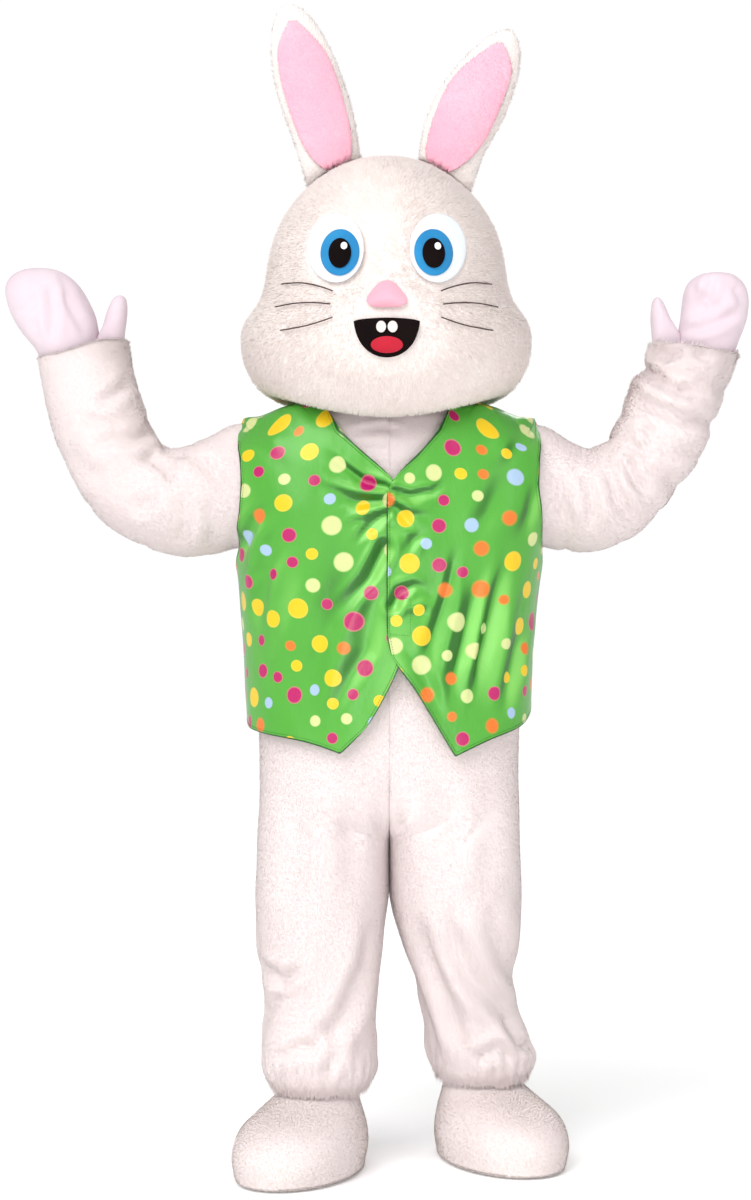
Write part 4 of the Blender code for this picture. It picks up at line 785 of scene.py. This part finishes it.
DENSITY, FINE = ((170000, 200000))     # blades a square metre
skins = {}
for side, sign in SIDES:
    for part in ("suit_front", "suit_back"):
        node = f"{part}_{side}"
        piece = skin(node, f"{part}_{side}_plush", velvet, 2, leg_bend(side), sink=0.0025)
        pile(f"{node}_pile", piece, FINE, suit_hair, leg_length, hang, lean=0.80, seed=10 + len(skins),
             ruffle=0.12, stray=0.08, width=0.0015, away=out_of_suit(side))
        skins[node] = piece
    node = f"suit_sleeve_{side}"
    piece = skin(node, f"{node}_plush", velvet, 2, arm_bend(side), sink=0.0025)
    shaggy = 0.30 if side == "left" else 0.12
    pile(f"{node}_pile", piece, FINE, suit_hair, arm_length(side), along_arm, lean=0.76, seed=30 + sign,
         ruffle=0.1 + 0.6 * shaggy, stray=shaggy, width=0.0015, away=out_of_arm(side))
    skins[node] = piece
    node = f"ear_{side}"
    piece = skin(node, f"{node}_plush", plush, 1, ear_bend, sink=0.003)
    pile(f"{node}_pile", piece, DENSITY, ear_hair, even(0.0058), to_tip, lean=0.68, seed=40 + sign,
         ruffle=0.25, stray=0.25, begins=(0.012, 0.06))
    skins[node] = piece
    node = f"ear_panel_{side}"
    piece = skin(node, f"{node}_plush", ear_pink, 2, ear_panel_bend(side))
    pile(f"{node}_pile", piece, DENSITY, pink_hair, even(0.0040), to_tip, lean=0.75, seed=50 + sign,
         ruffle=0.4, stray=0.3, width=0.0018)
    skins[node] = piece
    node = f"foot_upper_{side}"
    piece = skin(node, f"{node}_plush", velvet, 2, upper_bend, sink=0.0025)
    pile(f"{node}_pile", piece, FINE, foot_hair, even(0.0034), over_foot, lean=0.80, seed=60 + sign,
         ruffle=0.12, stray=0.08, width=0.0015)
    skins[node] = piece
    skins[f"foot_sole_{side}"] = skin(f"foot_sole_{side}", f"foot_sole_{side}_cover", sole_felt, 1, sole_bend)
    for part in ("mitten_back", "mitten_palm", "mitten_thumb"):
        node = f"{part}_{side}"
        skins[node] = skin(node, f"{node}_fleece", fleece, 3, mitten_bend(part, side, sign))
    for part, cloth in (("eye_white", eye_white), ("eye_iris", eye_blue), ("eye_pupil", face_black),
                        ("eye_glint", eye_white)):
        node = f"{part}_{side}"
        skins[node] = skin(node, f"{node}_felt", cloth, 2)
for node in ("head_face", "head_back"):
    piece = skin(node, f"{node}_plush", plush, 1, sink=0.004)
    pile(f"{node}_pile", piece, FINE, white_hair, even(0.0080), from_nose, lean=0.77, seed=70 + len(node),
         shorten=clear_of_face, ruffle=0.24, stray=0.28, width=0.0018, begins=(0.012, 0.06), away=out_of_head)
    skins[node] = piece
node = "suit_collar"
skins[node] = skin(node, "suit_collar_plush", plush, 1)
skins["suit_back_zip"] = skin("suit_back_zip", "suit_back_zip_tape", plush, 0)
for node, cloth in (("nose", nose_pink), ("mouth", face_black), ("tongue", tongue_red),
                    ("tooth_left", tooth_white), ("tooth_right", tooth_white)):
    skins[node] = skin(node, f"{node}_felt", cloth, 2)
for side, sign in SIDES:
    for number in (1, 2, 3):
        node = nodes[f"whisker_{side}_{number}"]
        node.material_slots[0].material = bristle

# ---------------------------------------------------------------- the waistcoat's print
# the satin turned away from the light, level with it and turned to it
GREENS = [(0.020, 0.125, 0.012), (0.072, 0.330, 0.034), (0.200, 0.545, 0.105)]
# a dark green mixed in along each panel's rim: painted shade where the cloth turns over its edge
PAINTED_EDGE_SHADE = (0.006, 0.060, 0.008)
LIT_FROM, LIT_GAIN = (-0.36, -0.62, 0.70), 1.15      # painted light and shade on the satin's folds: the way to the light, and how strongly
DOT_COLOURS = [(0.740, 0.480, 0.008), (0.430, 0.001, 0.115), (0.740, 0.155, 0.020), (0.560, 0.600, 0.260),
               (0.330, 0.460, 0.640)]                    # yellow, magenta, orange, cream, light blue
RIM_COLOURS = [(0.66, 0.50, 0.04), (0.480, 0.140, 0.150), (0.66, 0.19, 0.030), (0.42, 0.54, 0.20),
               (0.28, 0.43, 0.47)]
DOT_SHARES = [0.27, 0.26, 0.17, 0.18, 0.12]
DOT_RADII = [0.0105, 0.0132, 0.0156, 0.0180]
DOT_GAP = 0.0150


def scatter_dots(width, low, high, seed):
    """Centres, radii and colours of an even, random scatter of dots over a strip of cloth."""
    rng = np.random.default_rng(seed)
    dots = []
    for _ in range(9000):
        place = np.array([rng.uniform(-width, width), rng.uniform(low, high)])
        radius = DOT_RADII[int(rng.integers(len(DOT_RADII)))]
        kind = int(rng.choice(len(DOT_SHARES), p=DOT_SHARES))
        if all(math.hypot(*(place - other[0])) > radius + other[1] + DOT_GAP for other in dots):
            dots.append((place, radius, kind))
    return dots


def satin_material(name):
    made, tree, shader = new_material(name, GREENS[1], 0.32, specular=0.62)
    shader.inputs["Specular Tint"].default_value = (0.72, 1.0, 0.66, 1.0)
    links = tree.links

    def attribute(which):
        node = tree.nodes.new("ShaderNodeAttribute")
        node.attribute_name = which
        return node

    def maths(operation, first, second=None, clamp=False):
        node = tree.nodes.new("ShaderNodeMath")
        node.operation, node.use_clamp = operation, clamp
        for socket, value in zip(node.inputs, (first, second)):
            if isinstance(value, (int, float)):
                socket.default_value = value
            elif value is not None:
                links.new(value, socket)
        return node.outputs[0]

    def ranged(value, low, high, first=1.0, last=0.0):
        node = tree.nodes.new("ShaderNodeMapRange")
        node.interpolation_type = "SMOOTHSTEP"
        links.new(value, node.inputs["Value"])
        for socket, number in (("From Min", low), ("From Max", high)):
            if isinstance(number, (int, float)):
                node.inputs[socket].default_value = number
            else:
                links.new(number, node.inputs[socket])
        node.inputs["To Min"].default_value, node.inputs["To Max"].default_value = first, last
        return node.outputs["Result"]

    def mixed(factor, first, second):
        node = tree.nodes.new("ShaderNodeMix")
        node.data_type = "RGBA"
        links.new(factor, node.inputs[0])
        for socket, colour in ((node.inputs[6], first), (node.inputs[7], second)):
            if isinstance(colour, tuple):
                socket.default_value = (*colour, 1.0)
            else:
                links.new(colour, socket)
        return node.outputs[2]

    cloth, dot = attribute("cloth"), attribute("dot")
    apart = tree.nodes.new("ShaderNodeVectorMath")
    apart.operation = "DISTANCE"
    links.new(cloth.outputs["Vector"], apart.inputs[0])
    links.new(dot.outputs["Vector"], apart.inputs[1])
    kind = attribute("dot_kind").outputs["Fac"]
    reach = maths("DIVIDE", apart.outputs["Value"], attribute("dot_radius").outputs["Fac"])
    ramps = []
    for colours in (DOT_COLOURS, RIM_COLOURS, [(0.93,) * 3, (0.94,) * 3, (0.62,) * 3, (0.90,) * 3, (0.90,) * 3]):
        ramps.append(colour_ramp(tree, kind, [(k / len(colours), colour) for k, colour in enumerate(colours)],
                                 smooth=False))
    inner = ranged(reach, 0.80, 0.92)
    whole = ranged(reach, ramps[2], 1.04)
    # painted light and shade: the 'lit' value picks the shaded, level or lit green
    lit = attribute("lit").outputs["Fac"]
    green = colour_ramp(tree, lit, [(0.12, GREENS[0]), (0.50, GREENS[1]), (0.92, GREENS[2])])
    dotted = mixed(whole, green, mixed(inner, ramps[1], ramps[0]))
    edge = attribute("edge").outputs["Fac"]
    # painted shade: the satin darkens to a dark green within 1.8 to 3.2 mm of the panel's rim
    edge_shaded = mixed(ranged(edge, 0.0018, 0.0032), dotted, PAINTED_EDGE_SHADE)
    links.new(edge_shaded, shader.inputs["Base Color"])
    weave = tree.nodes.new("ShaderNodeTexNoise")
    weave.inputs["Scale"].default_value, weave.inputs["Detail"].default_value = 900.0, 2.0
    links.new(cloth.outputs["Vector"], weave.inputs["Vector"])
    first = bump(tree, shader, weave.outputs["Fac"], 0.25, 0.0004)
    soft = bump(tree, shader, noise_node(tree, 34.0, 3.0, 0.5, (1.0, 1.0, 0.45)), 0.5, 0.0035, first)
    seam = maths("ADD", ranged(edge, 0.0042, 0.0052, 0.0, 1.0), ranged(edge, 0.0052, 0.0062, 1.0, 0.0))
    bump(tree, shader, maths("MULTIPLY", seam, -1.0), 0.7, 0.0008, soft)
    return made


# Folds of the satin: points in the camera's view, half width in those units, depth in metres (below 0 is a ridge).
VEST_CREASES = [
    ([(386, 488), (362, 480), (338, 463), (322, 448)], 4.5, 0.0062),
    ([(384, 494), (358, 491), (330, 482), (312, 470)], 4.0, -0.0052),
    ([(384, 500), (356, 502), (330, 500)], 4.5, 0.0055),
    ([(384, 507), (360, 515), (338, 522)], 4.0, -0.0040),
    ([(384, 514), (366, 530), (350, 548)], 4.5, 0.0042),
    ([(394, 492), (410, 496), (432, 492), (452, 480)], 4.0, 0.0052),
    ([(394, 499), (412, 508), (436, 511)], 4.0, -0.0045),
    ([(394, 506), (408, 522), (424, 534)], 4.5, 0.0045),
    ([(266, 500), (252, 522), (240, 548), (236, 570)], 6.0, 0.0085),
    ([(280, 512), (262, 538), (250, 574), (246, 610)], 6.0, -0.0060),
    ([(286, 540), (268, 572), (258, 610), (256, 668)], 6.5, 0.0070),
    ([(312, 560), (294, 610), (282, 660), (284, 706)], 9.0, -0.0050),
    ([(346, 560), (330, 610), (316, 660), (308, 724)], 10.0, 0.0045),
    ([(384, 548), (368, 578), (352, 598), (340, 620)], 6.5, 0.0080),
    ([(380, 600), (366, 650), (344, 690), (326, 728)], 7.5, 0.0060),
    ([(372, 570), (352, 620), (336, 668)], 8.0, -0.0055),
    ([(394, 606), (400, 592), (414, 586), (432, 590)], 5.0, 0.0065),
    ([(396, 620), (406, 608), (424, 604), (440, 612)], 6.0, -0.0050),
    ([(458, 540), (448, 590), (432, 640), (418, 676)], 5.5, 0.0080),
    ([(466, 560), (456, 610), (442, 660), (432, 700)], 5.0, -0.0060),
    ([(480, 560), (468, 620), (456, 670), (448, 716)], 5.5, 0.0075),
    ([(492, 560), (480, 620), (468, 680), (462, 726)], 5.0, -0.0055),
    ([(510, 540), (494, 600), (480, 660), (474, 712)], 6.0, 0.0070),
    ([(524, 560), (508, 620), (496, 680), (490, 722)], 6.0, -0.0055),
    ([(532, 600), (516, 650), (508, 690), (502, 724)], 5.5, 0.0070),
    ([(402, 640), (416, 664), (432, 694), (444, 722)], 6.0, 0.0060),
    ([(404, 560), (414, 540), (430, 530)], 6.0, 0.0045),
    ([(500, 470), (488, 510), (470, 548)], 9.0, 0.0045),
    ([(536, 470), (530, 510), (520, 550)], 7.0, 0.0060),
    ([(262, 418), (280, 440), (290, 470)], 8.0, -0.0040),
    ([(512, 420), (500, 444), (494, 470)], 8.0, -0.0040),
]
CLOSURE = 389              # where the two fronts meet, in the camera's view
BACK_CREASES = 9
SHOULDER_DROP = [(0.160, 0.0), (0.190, 0.006), (0.210, 0.0125), (0.230, 0.0175)]      # by how far out it is
TOPSTITCH, STITCH_PITCH = 0.0058, 0.0048
STITCH_LENGTH, STITCH_WIDTH, STITCH_RISE = 0.0031, 0.0010, 0.0005
FASTENER = [(389, 597), (411, 599), (410, 636), (388, 634), (389, 597)]      # stitched square of hook and loop


def vest_bend(points, normals):
    """The satin's folds, pressed in or out on both faces of the cloth alike."""
    way = outward(points)
    moved = 0.0012 + 0.0034 * soft_noise(points, (0.085, 0.085, 0.16), 5) \
        + 0.0012 * soft_noise(points, (0.035, 0.035, 0.07), 6)
    front = smoothstep(0.035, -0.02, points[:, 1])
    places = seen_at(points)
    for line, half, depth in VEST_CREASES:
        away, along, _ = from_line(places, line)
        gathered = abs(line[0][0] - CLOSURE) < 6             # one that starts at the closure is deepest there
        fade = smoothstep(1.0, 0.35, along) if gathered else \
            smoothstep(0.0, 0.45, along) * smoothstep(1.0, 0.55, along) \
            * (0.75 + 0.3 * soft_noise(points, 0.05, 13))
        near = away / (half * (1 + 0.3 * soft_noise(points, 0.06, 14)))
        moved -= 1.15 * depth * front * fade * (np.exp(-near ** 2) - 0.35 * np.exp(-((near - 1.9) / 0.9) ** 2))
    turn = np.arctan2(points[:, 1], points[:, 0])
    back = smoothstep(0.02, 0.09, points[:, 1]) * smoothstep(0.02, -0.16, points[:, 2])
    moved += 0.0042 * back * np.sin(turn * BACK_CREASES * 2 + 2.2 * soft_noise(points, (0.3, 0.3, 0.45), 9))
    made = points + way * moved[:, None]
    made[:, 2] -= np.interp(np.abs(points[:, 0]), *zip(*SHOULDER_DROP)) * smoothstep(-0.100, -0.020, points[:, 2])
    return made


def rim_tree(mesh):
    """The outline of a panel: where its two faces meet its narrow edge."""
    spots = []
    form = bmesh.new()
    form.from_mesh(mesh)
    for edge in form.edges:
        if len(edge.link_faces) == 2 and edge.calc_face_angle(0) > math.radians(60):
            first, last = edge.verts[0].co, edge.verts[1].co
            steps = max(1, int((last - first).length / 0.002))
            spots += [first.lerp(last, k / steps) for k in range(steps + 1)]
    form.free()
    tree = KDTree(len(spots))
    for k, spot in enumerate(spots):
        tree.insert(spot, k)
    tree.balance()
    return tree


def round_profile():
    """Arc length round the waistcoat for each direction from its axis, from the panels' own points."""
    panels = ("vest_front_left", "vest_front_right", "vest_back")
    points = np.concatenate([arrays(nodes[node].data)[0] for node in panels])
    level = points[(points[:, 2] > -0.45) & (points[:, 2] < -0.25)]
    turn, radius = np.arctan2(level[:, 0], -level[:, 1]), np.hypot(level[:, 0], level[:, 1])
    order = np.argsort(turn)
    turns = np.linspace(-math.pi, math.pi, 181)
    radii = np.interp(turns, turn[order], radius[order], period=2 * math.pi)
    radii = np.convolve(np.concatenate([radii[-8:], radii, radii[:8]]), np.ones(9) / 9, "same")[8:-8]
    step = np.hypot(radii[1:] * np.diff(turns), np.diff(radii))
    arc = np.concatenate([[0.0], np.cumsum(step)])
    return turns, arc - np.interp(0.0, turns, arc)


PROFILE = round_profile()


def waistcoat_panel(node, levels, seed):
    outline = rim_tree(coarse(node))
    piece = skin(node, f"{node}_satin", satin_material(f"{node}_print"), levels)
    mesh = piece.data
    points, _, normals = arrays(mesh)
    turn = np.arctan2(points[:, 0], -points[:, 1])
    behind = node == "vest_back"
    if behind:                       # cut the print's join under the arm, not down the middle of the back
        turn = np.where(turn < 0, turn + 2 * math.pi, turn)
    turns, arc = PROFILE
    whole = arc[-1] - arc[0]
    twice_round = np.concatenate([turns, turns[1:] + 2 * math.pi])
    across = np.interp(turn, twice_round, np.concatenate([arc, arc[1:] + whole]))
    cloth = np.stack([across - (arc[-1] if behind else 0), points[:, 2] * 1.02, np.zeros(len(points))], axis=1)
    store(mesh, "cloth", cloth)
    edge = np.array([outline.find(Vector(p))[2] for p in points])
    # no painted edge shade, nor topstitching, on the shoulder's corner
    edge[(np.abs(points[:, 0]) > 0.18) & (points[:, 2] > -0.05)] += 0.007
    store(mesh, "edge", edge)
    dots = scatter_dots(0.55, -0.66, 0.06, seed)
    centres = np.array([dot[0] for dot in dots])
    radii = np.array([dot[1] for dot in dots])
    kinds = np.array([dot[2] for dot in dots])
    corner_of = np.empty(len(mesh.loops), np.int32)
    mesh.loops.foreach_get("vertex_index", corner_of)
    starts = np.empty(len(mesh.polygons), np.int32)
    mesh.polygons.foreach_get("loop_start", starts)
    face_cloth = np.add.reduceat(cloth[corner_of], starts, axis=0)
    sizes = np.diff(np.append(starts, len(corner_of)))
    face_cloth /= sizes[:, None]
    gaps = np.linalg.norm(face_cloth[:, None, :2] - centres[None], axis=2) - radii[None]
    nearest = np.argmin(gaps, axis=1)
    place = np.concatenate([centres[nearest], np.zeros((len(nearest), 1))], axis=1)
    store(mesh, "dot", place, "FACE")
    store(mesh, "dot_radius", radii[nearest], "FACE")
    store(mesh, "dot_kind", (kinds[nearest] + 0.5) / len(DOT_SHARES), "FACE")
    mesh.vertices.foreach_set("co", vest_bend(points, normals).astype(np.float32).ravel())
    mesh.update()
    mesh.shade_smooth()
    folded = arrays(mesh)[2]
    # painted light and shade: a fold is lighter as it turns towards LIT_FROM and darker as it turns away, plus a
    # random drift of tone
    lit = 0.5 + LIT_GAIN * ((folded - normals) @ unit(np.array([LIT_FROM]))[0]) \
        + 0.16 * soft_noise(points, (0.09, 0.09, 0.16), 12)
    store(mesh, "lit", np.clip(lit, 0, 1))
    return piece


def contours(points, triangles, values, level):
    """Lines along which the values have this level."""
    above = values > level
    spots, links = {}, {}
    for tri in triangles[above[triangles].any(axis=1) & ~above[triangles].all(axis=1)]:
        ends = []
        for a, b in ((tri[0], tri[1]), (tri[1], tri[2]), (tri[2], tri[0])):
            if above[a] != above[b]:
                key = (min(a, b), max(a, b))
                share = (level - values[key[0]]) / (values[key[1]] - values[key[0]])
                spots[key] = points[key[0]] + share * (points[key[1]] - points[key[0]])
                ends.append(key)
        links.setdefault(ends[0], []).append(ends[1])
        links.setdefault(ends[1], []).append(ends[0])
    lines, used = [], set()
    for start in sorted(links, key=lambda key: (len(links[key]), key)):
        if start in used:
            continue
        line, here = [], start
        while here is not None:
            used.add(here)
            line.append(spots[here])
            here = next((other for other in links[here] if other not in used), None)
        if len(line) > 3:
            lines.append(np.array(line))
    return lines


STITCH_FACES = [(0, 2, 4), (2, 1, 4), (1, 3, 4), (3, 0, 4), (2, 0, 5), (1, 2, 5), (3, 1, 5), (0, 3, 5)]


def stitches(name, lines, surface, material):
    """Separate sewn stitches laid along the lines, a little proud of the cloth."""
    corners, faces = [], []
    for line in lines:
        steps = np.linalg.norm(np.diff(line, axis=0), axis=1)
        arc = np.concatenate([[0.0], np.cumsum(steps)])
        for k in range(int(arc[-1] / STITCH_PITCH)):
            here = (k + 0.5) * STITCH_PITCH
            ends = [np.array([np.interp(here + shift, arc, line[:, c]) for c in range(3)])
                    for shift in (-STITCH_LENGTH / 2, STITCH_LENGTH / 2)]
            middle = (ends[0] + ends[1]) / 2
            if abs(middle[0]) > 0.18 and middle[2] > -0.055:           # the shoulder's corner is turned in
                continue
            _, up, _, _ = surface.find_nearest(Vector(middle))
            along = Vector(ends[1] - ends[0]).normalized()
            side = along.cross(up).normalized()
            base = len(corners)
            corners += [Vector(ends[0]), Vector(ends[1]),
                        Vector(middle) + side * STITCH_WIDTH / 2 + up * STITCH_RISE,
                        Vector(middle) - side * STITCH_WIDTH / 2 + up * STITCH_RISE,
                        Vector(middle) + up * STITCH_RISE * 2, Vector(middle) - up * STITCH_RISE]
            faces += [(base + a, base + b, base + c) for a, b, c in STITCH_FACES]
    mesh = bpy.data.meshes.new(name)
    mesh.from_pydata(corners, [], faces)
    mesh.materials.append(material)
    mesh.shade_smooth()
    piece = placed(name, mesh)
    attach(piece, "root")
    return piece


def surface_tree(points, triangles):
    return BVHTree.FromPolygons([tuple(p) for p in points], [tuple(int(i) for i in t) for t in triangles])


def topstitching(node, piece):
    """Rows of stitches inside a panel's edges, and the square that holds the fastener on the left front."""
    points, triangles, normals = arrays(piece.data)
    edge = np.empty(len(points), np.float32)
    piece.data.attributes["edge"].data.foreach_get("value", edge)
    outside = np.sum(normals * outward(points), axis=1) > 0.2
    faces = triangles[outside[triangles].all(axis=1)]
    surface = surface_tree(points, faces)
    lines = contours(points, faces, edge.astype(float), TOPSTITCH)
    if node == "vest_front_left":
        eye = Vector((VIEW_X, -VIEW_DISTANCE, VIEW_HEIGHT))
        spots = []
        for start, end in zip(FASTENER, FASTENER[1:]):
            for share in np.linspace(0, 1, 12, endpoint=False):
                px, py = (start[0] + (end[0] - start[0]) * share, start[1] + (end[1] - start[1]) * share)
                aim = Vector((VIEW_X + (px - MIDDLE_PX) * METRES_A_PIXEL, 0,
                              VIEW_HEIGHT - (py - MIDDLE_PY) * METRES_A_PIXEL))
                spot, _, _, _ = surface.ray_cast(eye, (aim - eye).normalized())
                if spot is not None:
                    spots.append(tuple(spot))
        lines.append(np.array(spots))
    return stitches(f"{node}_stitches", lines, surface, thread)


thread = new_material("green_thread", (0.020, 0.105, 0.014), 0.5, specular=0.4)[0]
vest = {node: waistcoat_panel(node, levels, seed)
        for node, levels, seed in (("vest_front_left", 3, 4), ("vest_front_right", 3, 7), ("vest_back", 2, 9))}
sewing = {node: topstitching(node, piece) for node, piece in vest.items()}

# ---------------------------------------------------------------- the waistcoat among the other pieces
skins.update(vest)

# ---------------------------------------------------------------- floor
FLOOR_REACH = 40.0
floor_mesh = bpy.data.meshes.new("floor")
corners = [(x * FLOOR_REACH, y * FLOOR_REACH, GROUND) for x, y in ((-1, -1), (1, -1), (1, 1), (-1, 1))]
floor_mesh.from_pydata(corners, [], [(0, 1, 2, 3)])
paper, _, paper_shader = new_material("floor_paper", (0.97, 0.97, 0.97), 0.9, specular=0.0)
paper_shader.inputs["Emission Color"].default_value = (1.0, 1.0, 1.0, 1.0)
paper_shader.inputs["Emission Strength"].default_value = 0.12
floor_mesh.materials.append(paper)
placed("floor", floor_mesh)
